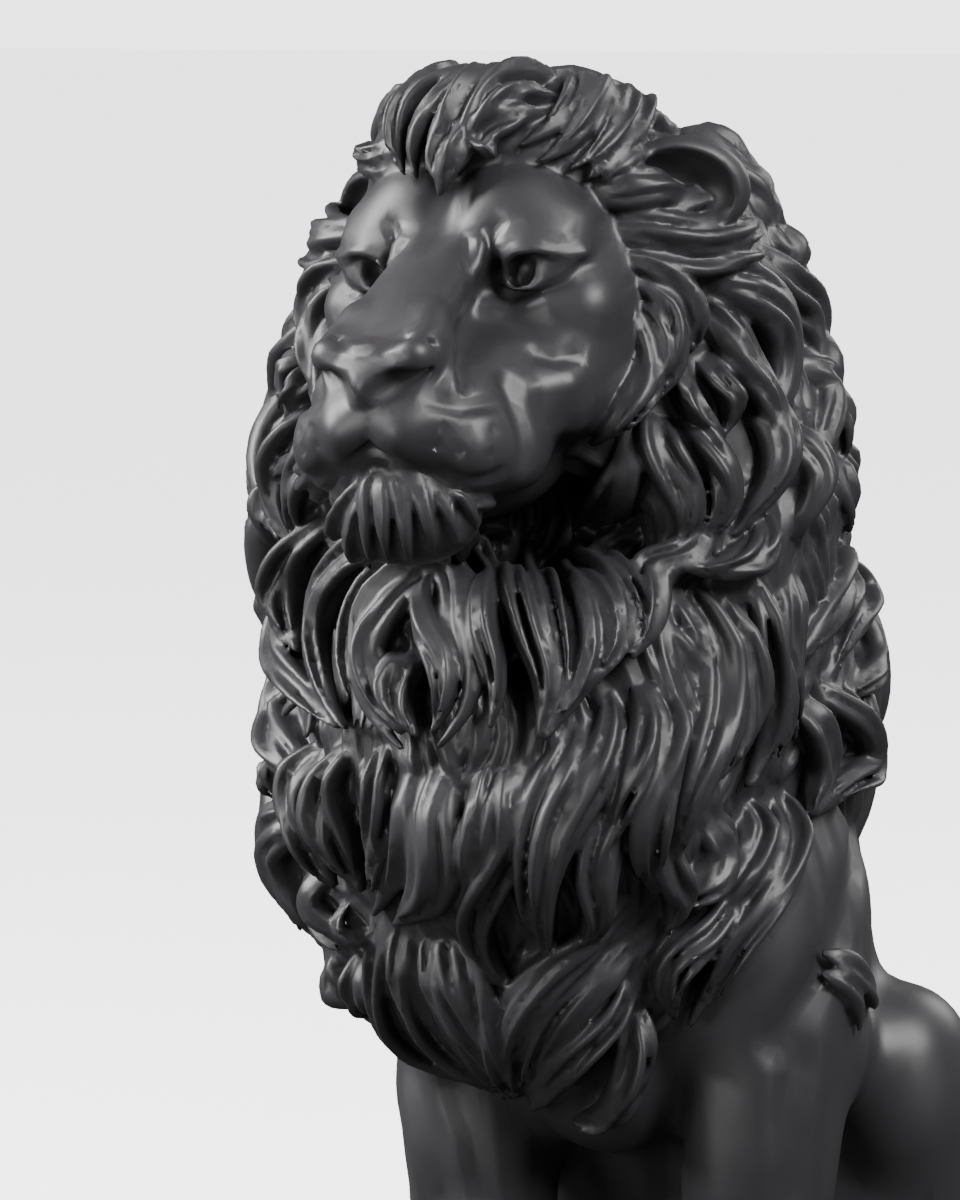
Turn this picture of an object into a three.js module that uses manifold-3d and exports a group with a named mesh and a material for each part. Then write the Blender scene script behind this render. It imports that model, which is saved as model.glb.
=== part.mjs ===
// A seated lion in matt black porcelain, cast in one with its low base. Millimetres, +Z up.
// The lion faces -Y, its left side is +X, and the origin is the centre of the base's underside.
import * as THREE from "three";
import { mergeVertices } from "three/addons/utils/BufferGeometryUtils.js";
import Module from "manifold-3d";

const wasm = await Module();
wasm.setup();

// Driving dimensions
const baseWidth = 264;
const baseLength = 280;
const baseHeight = 16;
const baseCorner = 96;
const baseBevel = 3;
const legLine = -65; // Y of the forelegs' axis
const legSpread = 47; // X of each foreleg's axis
const kneeHeight = 192;
const headTurn = -9; // degrees: the head looks a little to the lion's right
const headRoll = 2; // degrees: its left side is carried a little higher
const headCentre = new THREE.Vector3(-21.6, -98.9, 515); // midway between the ears
const eyeSpread = 32.5;
const earSpread = 64;
const bodyCell = 6.5; // size of the cubes that the soft forms are traced with
const headCell = 3.6;
const lionTriangles = 9600;

const deg = THREE.MathUtils.degToRad;
const headMatrix = new THREE.Matrix4()
  .makeRotationZ(deg(headTurn))
  .multiply(new THREE.Matrix4().makeRotationY(deg(-headRoll)))
  .setPosition(headCentre);

// A number from 0 to 1 that looks random and is the same each time for one seed.
function chance(seed) {
  const wave = Math.sin(seed * 12.9898 + 4.1) * 43758.5453;
  return wave - Math.floor(wave);
}

function mix(a, b, t) {
  return a + (b - a) * t;
}

// The value at t, from 0 to 1, of a row of evenly spaced values.
function along(values, t) {
  const place = Math.min(Math.max(t, 0), 1) * (values.length - 1);
  const i = Math.min(Math.floor(place), values.length - 2);
  return mix(values[i], values[i + 1], place - i);
}

function solidOf(geometry) {
  geometry.deleteAttribute("normal");
  geometry.deleteAttribute("uv");
  const merged = mergeVertices(geometry, 1e-4);
  return new wasm.Manifold(
    new wasm.Mesh({
      numProp: 3,
      vertProperties: merged.attributes.position.array,
      triVerts: new Uint32Array(merged.index.array),
    }),
  );
}

// An ellipsoid of the given half sizes, turned in degrees about X, Y and Z.
function ball(frame, centre, size, turn = [0, 0, 0], sides = 12, rings = 8) {
  const shape = new THREE.SphereGeometry(1, sides, rings);
  const place = new THREE.Matrix4().compose(
    new THREE.Vector3(...centre),
    new THREE.Quaternion().setFromEuler(new THREE.Euler(...turn.map(deg))),
    new THREE.Vector3(...size),
  );
  return solidOf(shape.applyMatrix4(place).applyMatrix4(frame));
}

// A closed skin over rings of points, each ring the same length, with a point closing each end.
function skin(rings, first, last) {
  const sides = rings[0].length;
  const points = [first, ...rings.flat(), last];
  const faces = [];
  const at = (ring, side) => 1 + ring * sides + (side % sides);
  for (let s = 0; s < sides; s++) {
    faces.push(0, at(0, s + 1), at(0, s));
    for (let r = 0; r < rings.length - 1; r++) {
      faces.push(at(r, s), at(r, s + 1), at(r + 1, s + 1));
      faces.push(at(r, s), at(r + 1, s + 1), at(r + 1, s));
    }
    faces.push(at(rings.length - 1, s), at(rings.length - 1, s + 1), points.length - 1);
  }
  const shape = new THREE.BufferGeometry().setFromPoints(points);
  shape.setIndex(faces);
  return shape;
}

// An egg's distance: below 0 inside it. Its half sizes are turned in degrees about X, Y and Z.
function egg([cx, cy, cz], [a, b, c], turn = [0, 0, 0]) {
  const spin = new THREE.Matrix4().makeRotationFromEuler(new THREE.Euler(...turn.map(deg)));
  const m = spin.transpose().elements;
  return (x, y, z) => {
    const [dx, dy, dz] = [x - cx, y - cy, z - cz];
    const u = (m[0] * dx + m[4] * dy + m[8] * dz) / a;
    const v = (m[1] * dx + m[5] * dy + m[9] * dz) / b;
    const w = (m[2] * dx + m[6] * dy + m[10] * dz) / c;
    const reach = Math.sqrt(u * u + v * v + w * w);
    const slope = Math.sqrt((u / a) ** 2 + (v / b) ** 2 + (w / c) ** 2);
    return (reach * (reach - 1)) / Math.max(slope, 1e-6);
  };
}

// A limb's distance, through stations [x, y, z, half width in X, half width in Y].
function limb(stations) {
  return (x, y, z) => {
    let nearest = Infinity;
    for (let i = 0; i < stations.length - 1; i++) {
      const [p, q] = [stations[i], stations[i + 1]];
      const way = [q[0] - p[0], q[1] - p[1], q[2] - p[2]];
      const square = way[0] ** 2 + way[1] ** 2 + way[2] ** 2;
      const dot = (x - p[0]) * way[0] + (y - p[1]) * way[1] + (z - p[2]) * way[2];
      const t = Math.min(Math.max(dot / square, 0), 1);
      const a = mix(p[3], q[3], t);
      const b = mix(p[4], q[4], t);
      const u = (x - mix(p[0], q[0], t)) / a;
      const v = (y - mix(p[1], q[1], t)) / b;
      const w = (z - mix(p[2], q[2], t)) / b;
      const reach = Math.sqrt(u * u + v * v + w * w);
      const slope = Math.sqrt((u / a) ** 2 + (v / b) ** 2 + (w / b) ** 2);
      nearest = Math.min(nearest, (reach * (reach - 1)) / Math.max(slope, 1e-6));
    }
    return nearest;
  };
}

// Forms [distance, softness] that run softly into each other. A third value of "cut" carves instead.
function blended(forms) {
  return (x, y, z) => {
    let whole = forms[0][0](x, y, z);
    for (let i = 1; i < forms.length; i++) {
      const [distance, softness, way] = forms[i];
      const sign = way === "cut" ? -1 : 1;
      const old = sign * whole;
      const next = distance(x, y, z);
      const share = Math.max(softness - Math.abs(old - next), 0) / softness;
      whole = sign * (Math.min(old, next) - (share * share * softness) / 4);
    }
    return whole;
  };
}

// The six tetrahedra of a cube, by its corners: bit 1 is +X, 2 is +Y and 4 is +Z.
const cubeParts = [[1, 3], [1, 5], [2, 3], [2, 6], [4, 5], [4, 6]].map(([a, b]) => [0, a, b, 7]);

// The closed skin of a form inside a box, traced through small cubes.
function traced(distance, low, high, cell) {
  const size = low.map((value, axis) => Math.ceil((high[axis] - value) / cell) + 1);
  const place = (i, j, k) => i + size[0] * (j + size[1] * k);
  const corner = (bits) => [bits & 1, (bits >> 1) & 1, bits >> 2];
  const values = new Float64Array(size[0] * size[1] * size[2]);
  for (let k = 0; k < size[2]; k++) {
    for (let j = 0; j < size[1]; j++) {
      for (let i = 0; i < size[0]; i++) {
        const value = distance(low[0] + i * cell, low[1] + j * cell, low[2] + k * cell);
        const edge = [i, j, k].some((n, axis) => n === 0 || n === size[axis] - 1);
        values[place(i, j, k)] = edge ? Math.max(value, 0.1 * cell) : value;
      }
    }
  }
  const points = [];
  const known = new Map();
  const faces = [];
  // The point where the skin crosses the edge between two corners of the cube at (i, j, k).
  const crossing = (i, j, k, one, two) => {
    const [from, to] = one < two ? [one, two] : [two, one];
    const [fi, fj, fk] = corner(from);
    const start = place(i + fi, j + fj, k + fk);
    const key = start * 8 + (to - from);
    if (!known.has(key)) {
      const [ti, tj, tk] = corner(to);
      const a = values[start];
      const b = values[place(i + ti, j + tj, k + tk)];
      const t = Math.min(Math.max(a / (a - b), 0.04), 0.96);
      known.set(key, points.length);
      points.push(
        new THREE.Vector3(
          low[0] + cell * (i + mix(fi, ti, t)),
          low[1] + cell * (j + mix(fj, tj, t)),
          low[2] + cell * (k + mix(fk, tk, t)),
        ),
      );
    }
    return known.get(key);
  };
  const handed = (corners) => {
    const [o, a, b, c] = corners.map((bits) => new THREE.Vector3(...corner(bits)));
    return a.sub(o).dot(b.sub(o).cross(c.sub(o))) > 0;
  };
  for (let k = 0; k < size[2] - 1; k++) {
    for (let j = 0; j < size[1] - 1; j++) {
      for (let i = 0; i < size[0] - 1; i++) {
        const inside = [];
        for (let bits = 0; bits < 8; bits++) {
          const [ci, cj, ck] = corner(bits);
          inside.push(values[place(i + ci, j + cj, k + ck)] < 0);
        }
        if (inside.every((is) => is === inside[0])) continue;
        for (const part of cubeParts) {
          const ins = part.filter((bits) => inside[bits]);
          const outs = part.filter((bits) => !inside[bits]);
          if (ins.length === 0 || outs.length === 0) continue;
          const ring = ins.length === 2
            ? [[0, 0], [0, 1], [1, 1], [1, 0]].map(([a, b]) => crossing(i, j, k, ins[a], outs[b]))
            : ins.flatMap((a) => outs.map((b) => crossing(i, j, k, a, b)));
          const turned = ins.length === 3
            ? !handed([outs[0], ...ins])
            : handed([...ins, ...outs]);
          if (!turned) ring.reverse();
          faces.push(ring[0], ring[1], ring[2]);
          if (ring.length === 4) faces.push(ring[0], ring[2], ring[3]);
        }
      }
    }
  }
  const shape = new THREE.BufferGeometry().setFromPoints(points);
  shape.setIndex(faces);
  return shape;
}

function join(solids) {
  return solids.reduce((whole, solid) => whole.add(solid));
}

// The outer skin alone, without the air pockets sealed under the locks.
function withoutPockets(solid) {
  return solid.decompose().reduce((whole, body) => (body.volume() > whole.volume() ? body : whole));
}

// The cheapest item of a growing list, found fast: a binary heap of objects ordered by `cost`.
class CheapestFirst {
  items = [];

  push(item) {
    const { items } = this;
    let place = items.length;
    items.push(item);
    while (place > 0) {
      const parent = (place - 1) >> 1;
      if (items[parent].cost <= item.cost) break;
      items[place] = items[parent];
      place = parent;
    }
    items[place] = item;
  }

  pop() {
    const { items } = this;
    const best = items[0];
    const moved = items.pop();
    if (items.length === 0) return best;
    let place = 0;
    for (;;) {
      let child = 2 * place + 1;
      if (child >= items.length) break;
      if (child + 1 < items.length && items[child + 1].cost < items[child].cost) child += 1;
      if (items[child].cost >= moved.cost) break;
      items[place] = items[child];
      place = child;
    }
    items[place] = moved;
    return best;
  }
}

// The ten sums that give a point's squared distance from a set of planes, each weighed by area.
function planeSums(a, b, c) {
  const cross = b.clone().sub(a).cross(c.clone().sub(a));
  const doubleArea = cross.length();
  if (doubleArea < 1e-9) return new Float64Array(10);
  const { x, y, z } = cross.divideScalar(doubleArea);
  const d = -(x * a.x + y * a.y + z * a.z);
  return Float64Array.from(
    [x * x, x * y, x * z, x * d, y * y, y * z, y * d, z * z, z * d, d * d],
    (value) => value * doubleArea,
  );
}

function planeError(q, { x, y, z }) {
  return q[0] * x * x + 2 * q[1] * x * y + 2 * q[2] * x * z + 2 * q[3] * x
    + q[4] * y * y + 2 * q[5] * y * z + 2 * q[6] * y
    + q[7] * z * z + 2 * q[8] * z + q[9];
}

// The point with the least error for two merged vertices, and that error.
function mergedPoint(q, a, b) {
  const choices = [a.clone(), b.clone(), a.clone().lerp(b, 0.5)];
  const matrix = new THREE.Matrix3().set(q[0], q[1], q[2], q[1], q[4], q[5], q[2], q[5], q[7]);
  const size = Math.cbrt(Math.abs(matrix.determinant()));
  if (size > 0.02 * (q[0] + q[4] + q[7])) {
    const best = new THREE.Vector3(-q[3], -q[6], -q[8]).applyMatrix3(matrix.invert());
    if (best.distanceTo(choices[2]) < a.distanceTo(b)) choices.push(best);
  }
  const errors = choices.map((point) => planeError(q, point));
  const least = errors.indexOf(Math.min(...errors));
  return { point: choices[least], error: errors[least] };
}

// The same closed skin with fewer triangles: short edges are closed up where the shape loses least.
function simplified(solid, triangles) {
  const made = solid.getMesh();
  const points = [];
  for (let i = 0; i < made.numVert; i++) {
    points.push(new THREE.Vector3().fromArray(made.vertProperties, i * made.numProp));
  }
  const faces = [];
  for (let i = 0; i < made.numTri; i++) faces.push([...made.triVerts.subarray(3 * i, 3 * i + 3)]);
  const sums = points.map(() => new Float64Array(10));
  const around = points.map(() => new Set());
  faces.forEach((face, f) => {
    const plane = planeSums(...face.map((v) => points[v]));
    for (const v of face) {
      plane.forEach((value, i) => (sums[v][i] += value));
      around[v].add(f);
    }
  });
  const changes = points.map(() => 0);
  const edges = new CheapestFirst();
  const lengthCost = 0.002; // a little of the cost is length, so flat areas keep even triangles

  const neighbours = (v) => new Set([...around[v]].flatMap((f) => faces[f]).filter((n) => n !== v));
  const offer = (a, b) => {
    const both = sums[a].map((value, i) => value + sums[b][i]);
    const { point, error } = mergedPoint(both, points[a], points[b]);
    const cost = error + lengthCost * points[a].distanceTo(points[b]) ** 3;
    edges.push({ cost, a, b, point, stampA: changes[a], stampB: changes[b] });
  };
  // Moving a corner may not turn a face over or make it a sliver.
  const turns = (v, other, point) =>
    [...around[v]].some((f) => {
      if (faces[f].includes(other)) return false;
      const old = faces[f].map((n) => points[n]);
      const moved = faces[f].map((n) => (n === v ? point : points[n]));
      const before = new THREE.Triangle(...old);
      const after = new THREE.Triangle(...moved);
      const facing = before.getNormal(new THREE.Vector3()).dot(after.getNormal(new THREE.Vector3()));
      return facing < 0.3 || after.getArea() < 0.02;
    });

  points.forEach((_, v) => neighbours(v).forEach((n) => v < n && offer(v, n)));
  let left = faces.length;
  while (left > triangles && edges.items.length > 0) {
    const { a, b, point, stampA, stampB } = edges.pop();
    if (stampA !== changes[a] || stampB !== changes[b]) continue;
    const nearB = neighbours(b);
    const shared = [...neighbours(a)].filter((n) => nearB.has(n));
    if (shared.length !== 2 || turns(a, b, point) || turns(b, a, point)) continue;
    for (const f of [...around[b]]) {
      if (faces[f].includes(a)) {
        faces[f].forEach((n) => around[n].delete(f));
        faces[f] = [];
        left -= 1;
      } else {
        faces[f][faces[f].indexOf(b)] = a;
        around[a].add(f);
      }
    }
    around[b].clear();
    points[a].copy(point);
    sums[b].forEach((value, i) => (sums[a][i] += value));
    changes[a] += 1;
    changes[b] = -1;
    neighbours(a).forEach((n) => offer(a, n));
  }
  const shape = new THREE.BufferGeometry().setFromPoints(points);
  shape.setIndex(faces.flat());
  return solidOf(shape.toNonIndexed());
}

// Both sides of a shape that is given for the lion's left.
function pair(make) {
  return [make(1), make(-1)];
}

// The form under the mane: eggs [centre, half sizes] that run softly into each other.
const maneMasses = {
  crown: [[-21, -80, 482], [75, 70, 60]],
  forelock: [[-26, -124, 528], [42, 31, 25]],
  ruff: [[-24, -68, 405], [98, 75, 104]],
  bib: [[-16, -105, 330], [70, 64, 72]],
  chest: [[-15, -90, 266], [70, 46, 64]],
  cape: [[-18, -42, 332], [90, 70, 82]],
  fall: [[-66, -84, 305], [46, 46, 72]],
  withers: [[-5, 0, 340], [66, 60, 82]],
};
const maneSoftness = 26;
const maneForm = blended(
  Object.values(maneMasses).map(([centre, size]) => [egg(centre, size), maneSoftness]),
);

function maneDistance(point) {
  return maneForm(point.x, point.y, point.z);
}

function maneNormal({ x, y, z }) {
  const step = 0.5;
  return new THREE.Vector3(
    maneForm(x + step, y, z) - maneForm(x - step, y, z),
    maneForm(x, y + step, z) - maneForm(x, y - step, z),
    maneForm(x, y, z + step) - maneForm(x, y, z - step),
  ).normalize();
}

// Where a ray from inside the form comes out of it.
function maneSurface(from, direction) {
  let inside = 0;
  let outside = 260;
  for (let i = 0; i < 30; i++) {
    const middle = (inside + outside) / 2;
    if (maneDistance(from.clone().addScaledVector(direction, middle)) < 0) inside = middle;
    else outside = middle;
  }
  return from.clone().addScaledVector(direction, inside);
}

const faceForward = new THREE.Vector3(0, -1, 0).transformDirection(headMatrix);
const faceLeft = new THREE.Vector3(1, 0, 0).transformDirection(headMatrix);
const faceAxisDrop = 40; // the mane opens round a line this far below the ears
const faceAxis = headCentre.clone().add(new THREE.Vector3(0, 0, -faceAxisDrop));
const up = new THREE.Vector3(0, 0, 1);

// The way hair runs at a point: outward from the face near it, parted on the forehead's midline,
// down further off, and drawn in below the chin.
function flow(point, normal) {
  const offAxis = point.clone().sub(faceAxis);
  offAxis.addScaledVector(faceForward, -offAxis.dot(faceForward));
  const radius = offAxis.length();
  const fall = THREE.MathUtils.smoothstep(radius, 50, 115);
  const lateral = offAxis.dot(faceLeft);
  const parting = THREE.MathUtils.smoothstep(offAxis.z, 25, 60)
    * THREE.MathUtils.clamp(lateral / 18, -1, 1);
  const drawnIn = THREE.MathUtils.smoothstep(-offAxis.z, 40, 110)
    * Math.max(normal.dot(faceForward), 0)
    * THREE.MathUtils.clamp(lateral / 45, -1, 1);
  const run = offAxis
    .normalize()
    .multiplyScalar(1 - 0.85 * fall)
    .addScaledVector(faceLeft, 0.9 * parting - 0.55 * drawnIn)
    .addScaledVector(faceForward, -0.8 * (1 - fall))
    .addScaledVector(up, -0.25 - 1.1 * fall);
  return run.addScaledVector(normal, -run.dot(normal)).normalize();
}

// A root on the hairline: a ring round the face, set back from its front by `setBack`.
function ringRoot(angle, setBack) {
  const a = deg(angle);
  const out = faceLeft.clone().multiplyScalar(Math.cos(a)).addScaledVector(up, Math.sin(a));
  const forward = 24 + 32 * Math.max(Math.sin(a), 0) ** 2 + 22 * Math.max(-Math.sin(a), 0) ** 2;
  const from = faceAxis.clone().addScaledVector(faceForward, forward - setBack);
  return maneSurface(from, out);
}

// A root on a collar at one height: angle 0 is the lion's front and 90 its left.
function collarRoot(angle, height) {
  const a = deg(angle);
  const from = new THREE.Vector3(-12, -62, height);
  return maneSurface(from, new THREE.Vector3(Math.sin(a), -Math.cos(a), 0));
}

// A root on the front edge of the forelock, `across` from the forehead's midline.
function browRoot(across) {
  const from = new THREE.Vector3(0.7 * across, -26, 12).applyMatrix4(headMatrix);
  const aim = new THREE.Vector3(across, -62, 2 + 0.006 * across * across).applyMatrix4(headMatrix);
  return maneSurface(from, aim.sub(from).normalize());
}

const lockWidths = [0.55, 0.85, 1, 1, 0.92, 0.74, 0.4];
const lockDepths = [0.6, 0.9, 1, 1, 0.95, 0.8, 0.5];
const lockLifts = [-0.6, -0.1, 0.25, 0.4, 0.4, 0.3, 0.1];
// The section of a lock: [across, out], with a valley between two strands.
const lockSection = [[-1, -0.5], [-0.62, 0.75], [0, 0.5], [0.62, 0.8], [1, -0.5]];

// One lock of hair: a tapered, waving lobe that lies on the mane's form.
function lock(root, { length, width, depth, sway, phase, curl }) {
  const steps = lockWidths.length - 1;
  const stride = length / (steps + 1);
  const point = root.clone();
  const rings = [];
  let first;
  let last;
  for (let i = 0; i <= steps + 1; i++) {
    const t = i / (steps + 1);
    const normal = maneNormal(point);
    const run = flow(point, normal);
    const side = new THREE.Vector3().crossVectors(run, normal).normalize();
    const swing = sway * Math.cos(2 * Math.PI * (t * 0.9 + phase)) + curl * t * t;
    run.addScaledVector(side, swing).normalize();
    side.crossVectors(run, normal).normalize();
    const share = Math.min(t * (steps + 1) / steps, 1);
    const centre = point.clone().addScaledVector(normal, depth * along(lockLifts, share));
    if (i === 0) first = centre.clone().addScaledVector(run, -0.4 * stride);
    if (i <= steps) {
      const halfWidth = 0.5 * width * along(lockWidths, share);
      const thick = depth * along(lockDepths, share);
      rings.push(
        lockSection.map(([across, out]) =>
          centre
            .clone()
            .addScaledVector(side, across * halfWidth)
            .addScaledVector(normal, out * thick),
        ),
      );
    } else {
      last = centre;
    }
    point.addScaledVector(run, stride);
    point.addScaledVector(maneNormal(point), -maneDistance(point));
  }
  return solidOf(skin(rings, first, last));
}

// Tiers of locks, from the outermost at the chest to the hairline. `ring` tiers go round the face and
// `collar` tiers round the neck and chest at a height, with angles from `from` to `to`, in degrees.
// The `brow` tier goes across the forehead, in millimetres.
const tiers = [
  { collar: 252, from: -60, to: 55, count: 8, length: 66, width: 34, depth: 8 },
  { collar: 292, from: -105, to: 100, count: 13, length: 92, width: 40, depth: 9 },
  { collar: 333, from: -165, to: 165, count: 17, length: 108, width: 42, depth: 10 },
  { collar: 368, from: -78, to: 84, count: 10, length: 88, width: 34, depth: 12 },
  { collar: 388, from: 95, to: 265, count: 10, length: 112, width: 44, depth: 11 },
  { collar: 412, from: -50, to: 58, count: 11, length: 84, width: 28, depth: 11 },
  { collar: 440, from: 85, to: 275, count: 10, length: 104, width: 44, depth: 11 },
  { collar: 488, from: 95, to: 265, count: 10, length: 100, width: 44, depth: 11 },
  { collar: 518, from: 120, to: 240, count: 5, length: 80, width: 40, depth: 11 },
  { ring: 92, from: 10, to: 170, count: 8, length: 105, width: 44, depth: 11 },
  { ring: 62, from: -55, to: 235, count: 16, length: 112, width: 40, depth: 11 },
  { ring: 32, from: -100, to: 280, count: 21, length: 92, width: 34, depth: 11 },
  { ring: 4, from: -70, to: 250, count: 23, length: 66, width: 26, depth: 9 },
  { brow: true, from: -44, to: 44, count: 11, length: 52, width: 19, depth: 8 },
];

function maneLocks() {
  const locks = [];
  tiers.forEach((tier, row) => {
    for (let i = 0; i < tier.count; i++) {
      const seed = row * 31 + i;
      const place = mix(tier.from, tier.to, i / (tier.count - 1)) + 3 * (chance(seed) - 0.5);
      let root;
      if (tier.brow) root = browRoot(place);
      else if (tier.ring !== undefined) root = ringRoot(place, tier.ring);
      else root = collarRoot(place, tier.collar + 8 * (chance(seed + 7) - 0.5));
      locks.push(
        lock(root, {
          length: tier.length * mix(0.85, 1.15, chance(seed + 3)),
          width: tier.width * mix(0.88, 1.12, chance(seed + 5)),
          depth: tier.depth * mix(0.85, 1.15, chance(seed + 9)),
          sway: mix(0.35, 0.65, chance(seed + 11)),
          phase: chance(seed + 13),
          curl: mix(-0.7, 0.7, chance(seed + 17)),
        }),
      );
    }
  });
  return locks;
}

function base() {
  const halfX = baseWidth / 2 - baseBevel;
  const halfY = baseLength / 2 - baseBevel;
  const outline = new THREE.Shape();
  outline.moveTo(halfX, -halfY + baseCorner);
  outline.lineTo(halfX, halfY - baseCorner);
  outline.absarc(halfX - baseCorner, halfY - baseCorner, baseCorner, 0, Math.PI / 2);
  outline.absarc(-halfX + baseCorner, halfY - baseCorner, baseCorner, Math.PI / 2, Math.PI);
  outline.absarc(-halfX + baseCorner, -halfY + baseCorner, baseCorner, Math.PI, 1.5 * Math.PI);
  outline.absarc(halfX - baseCorner, -halfY + baseCorner, baseCorner, 1.5 * Math.PI, 2 * Math.PI);
  const slab = new THREE.ExtrudeGeometry(outline, {
    depth: baseHeight - 2 * baseBevel,
    bevelThickness: baseBevel,
    bevelSize: baseBevel,
    bevelSegments: 1,
    curveSegments: 6,
  });
  return solidOf(slab.translate(0, 0, baseBevel));
}

// A paw with four toes, its sole on the base.
function paw(x, y, width, length) {
  const sole = baseHeight - 2;
  const height = 0.66 * width;
  const toes = [-0.68, -0.24, 0.24, 0.68].map((across) => [
    egg(
      [x + across * width, y - length * (0.82 - 0.28 * across * across), sole + 0.48 * height],
      [0.27 * width, 0.34 * length, 0.5 * height],
      [0, 0, -14 * across],
    ),
    2,
  ]);
  return [
    [egg([x, y, sole + 0.55 * height], [0.84 * width, length, 0.62 * height]), 10],
    ...toes,
  ];
}

function foreleg(side) {
  const x = side * legSpread;
  const y = legLine;
  const wrist = limb([
    [side * 60, y + 16, 260, 30, 38],
    [side * 57, y + 8, 215, 29, 36],
    [side * 51, y + 3, 165, 26, 29],
    [x, y, 125, 22, 24],
    [x, y - 2, 82, 18.5, 19],
    [x + side, y - 4, 60, 20, 20.5],
    [x + side, y - 10, 38, 21, 20],
  ]);
  return [
    [egg([side * 54, y + 14, 262], [35, 50, 66], [0, side * -8, 0]), 14],
    [wrist, 16],
    [egg([side * 62, y + 34, 208], [20, 20, 26]), 12],
    ...paw(x + side * 3, y - 26, 29, 36),
  ];
}

function hindleg(side) {
  const x = side * 84;
  const shank = limb([
    [x, 12, kneeHeight - 14, 24, 27],
    [x + side, 34, 130, 24, 30],
    [x + side * 2, 76, 66, 18, 22],
    [x + side * 2, 98, 34, 15, 16],
  ]);
  const foot = limb([
    [x + side * 2, 100, 31, 14, 14],
    [x + side * 3, 54, 29, 16, 13],
    [x + side * 4, 8, 31, 20, 15],
  ]);
  return [
    [egg([side * 70, 46, 128], [38, 62, 80], [-20, 0, 0]), 20],
    [egg([x - side, 16, kneeHeight], [25, 31, 36], [24, 0, 0]), 18],
    [shank, 10],
    [foot, 8],
    ...paw(x + side * 4, -12, 27, 30),
  ];
}

function torso() {
  const trunk = limb([
    [0, -36, 330, 60, 66],
    [0, -22, 290, 70, 74],
    [0, 6, 225, 72, 72],
    [0, 38, 160, 70, 68],
    [0, 60, 105, 66, 60],
    [0, 66, 70, 60, 50],
  ]);
  return [
    [trunk, 1],
    [egg([0, -70, 262], [52, 44, 86]), 24],
    [egg([0, 92, 74], [56, 38, 54]), 24],
  ];
}

// The tail leaves the rump and lies along the base round the lion's right side, tuft and all.
function tail() {
  const ground = baseHeight + 9;
  const rope = limb([
    [0, 108, 60, 16, 15],
    [-28, 124, ground + 8, 13, 12.5],
    [-72, 118, ground, 11, 10.5],
    [-106, 90, ground, 10.5, 10],
    [-120, 44, ground, 10, 10],
    [-119, 6, ground, 9.5, 9.5],
    [-118, -4, ground + 1, 12, 11],
    [-112, -26, ground + 2, 14, 12],
    [-103, -46, ground, 11, 9],
    [-95, -62, ground - 3, 5, 5],
  ]);
  return [[rope, 8]];
}

// The head's own frame: +X its left, -Y forward, origin midway between the ears.
function skull() {
  return [
    [egg([0, -8, -24], [55, 58, 48]), 1],
    [egg([0, -46, -84], [32, 42, 26]), 20],
    ...pair((s) => [egg([s * 40, -34, -48], [17, 30, 25]), 16]),
    ...pair((s) => [egg([s * 31, -38, -68], [19, 34, 24]), 16]),
    ...pair((s) => [egg([s * 17, -43, -4], [18, 20, 19]), 9]),
    ...pair((s) => [egg([s * 30, -55, -9], [15, 12, 8], [0, s * 12, s * 16]), 9]),
  ];
}

function muzzle() {
  const bridge = limb([
    [0, -58, -20, 18, 14],
    [0, -80, -32, 17, 14],
    [0, -100, -44, 18, 14],
    [0, -108, -52, 20, 12],
  ]);
  return [
    [egg([0, -76, -64], [30, 38, 27], [10, 0, 0]), 14],
    [bridge, 10],
    ...pair((s) => [egg([s * 16, -94, -76], [17, 24, 20], [0, 0, s * 18]), 7]),
    ...pair((s) => [egg([s * 25, -74, -88], [10, 22, 13], [-14, 0, s * 12]), 8]),
    [egg([0, -112, -57], [20, 9, 11], [-18, 0, 0]), 5],
    ...pair((s) => [egg([s * 9.5, -121, -61], [4.5, 7, 3.5], [0, 0, s * 25]), 2, "cut"]),
    [egg([0, -118, -76], [2, 9, 14]), 3, "cut"],
    [egg([0, -110, -87], [13, 18, 3]), 3, "cut"],
    ...pair((s) => [egg([s * 19, -96, -94], [14, 22, 3], [0, s * 32, s * 20]), 3, "cut"]),
    [egg([0, -87, -102], [20, 20, 16]), 3],
    ...[-4, -3, -2, -1, 0, 1, 2, 3, 4].map((i) => [
      egg([i * 5.2, -97 + 0.9 * i * i, -106 + 0.2 * i * i], [3.4, 11, 15], [0, i * -9, 0]),
      1.5,
    ]),
  ];
}

function eyes() {
  return [
    ...pair((s) => [egg([s * eyeSpread, -70, -25], [14, 11, 8.5], [0, s * 6, s * 20]), 7, "cut"]),
    ...pair((s) => [egg([s * eyeSpread, -53, -25.5], [10.5, 10.5, 9.5]), 1.5]),
  ];
}

function ear(side) {
  const turn = [0, side * 14, side * 32];
  const shell = ball(headMatrix, [side * earSpread, 2, -3], [25, 10, 20], turn, 16, 10);
  const hollow = ball(headMatrix, [side * (earSpread + 2), -7, -4], [21, 11, 16], turn, 14, 8);
  return shell.subtract(hollow);
}

function lion() {
  const bodyForm = blended([
    ...torso(),
    [maneForm, 12],
    ...pair(foreleg).flat(),
    ...pair(hindleg).flat(),
    ...tail(),
  ]);
  const headForm = blended([...skull(), ...muzzle(), ...eyes()]);
  const body = solidOf(traced(bodyForm, [-145, -150, baseHeight - 4], [135, 150, 560], bodyCell));
  const head = solidOf(
    traced(headForm, [-72, -142, -142], [72, 60, 40], headCell).applyMatrix4(headMatrix),
  );
  const plain = join([simplified(body, 5200), simplified(head, 4200), ...pair(ear)]);
  const whole = withoutPockets(join([plain, ...maneLocks()]));
  return withoutPockets(simplified(whole, lionTriangles).add(base()));
}

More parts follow.
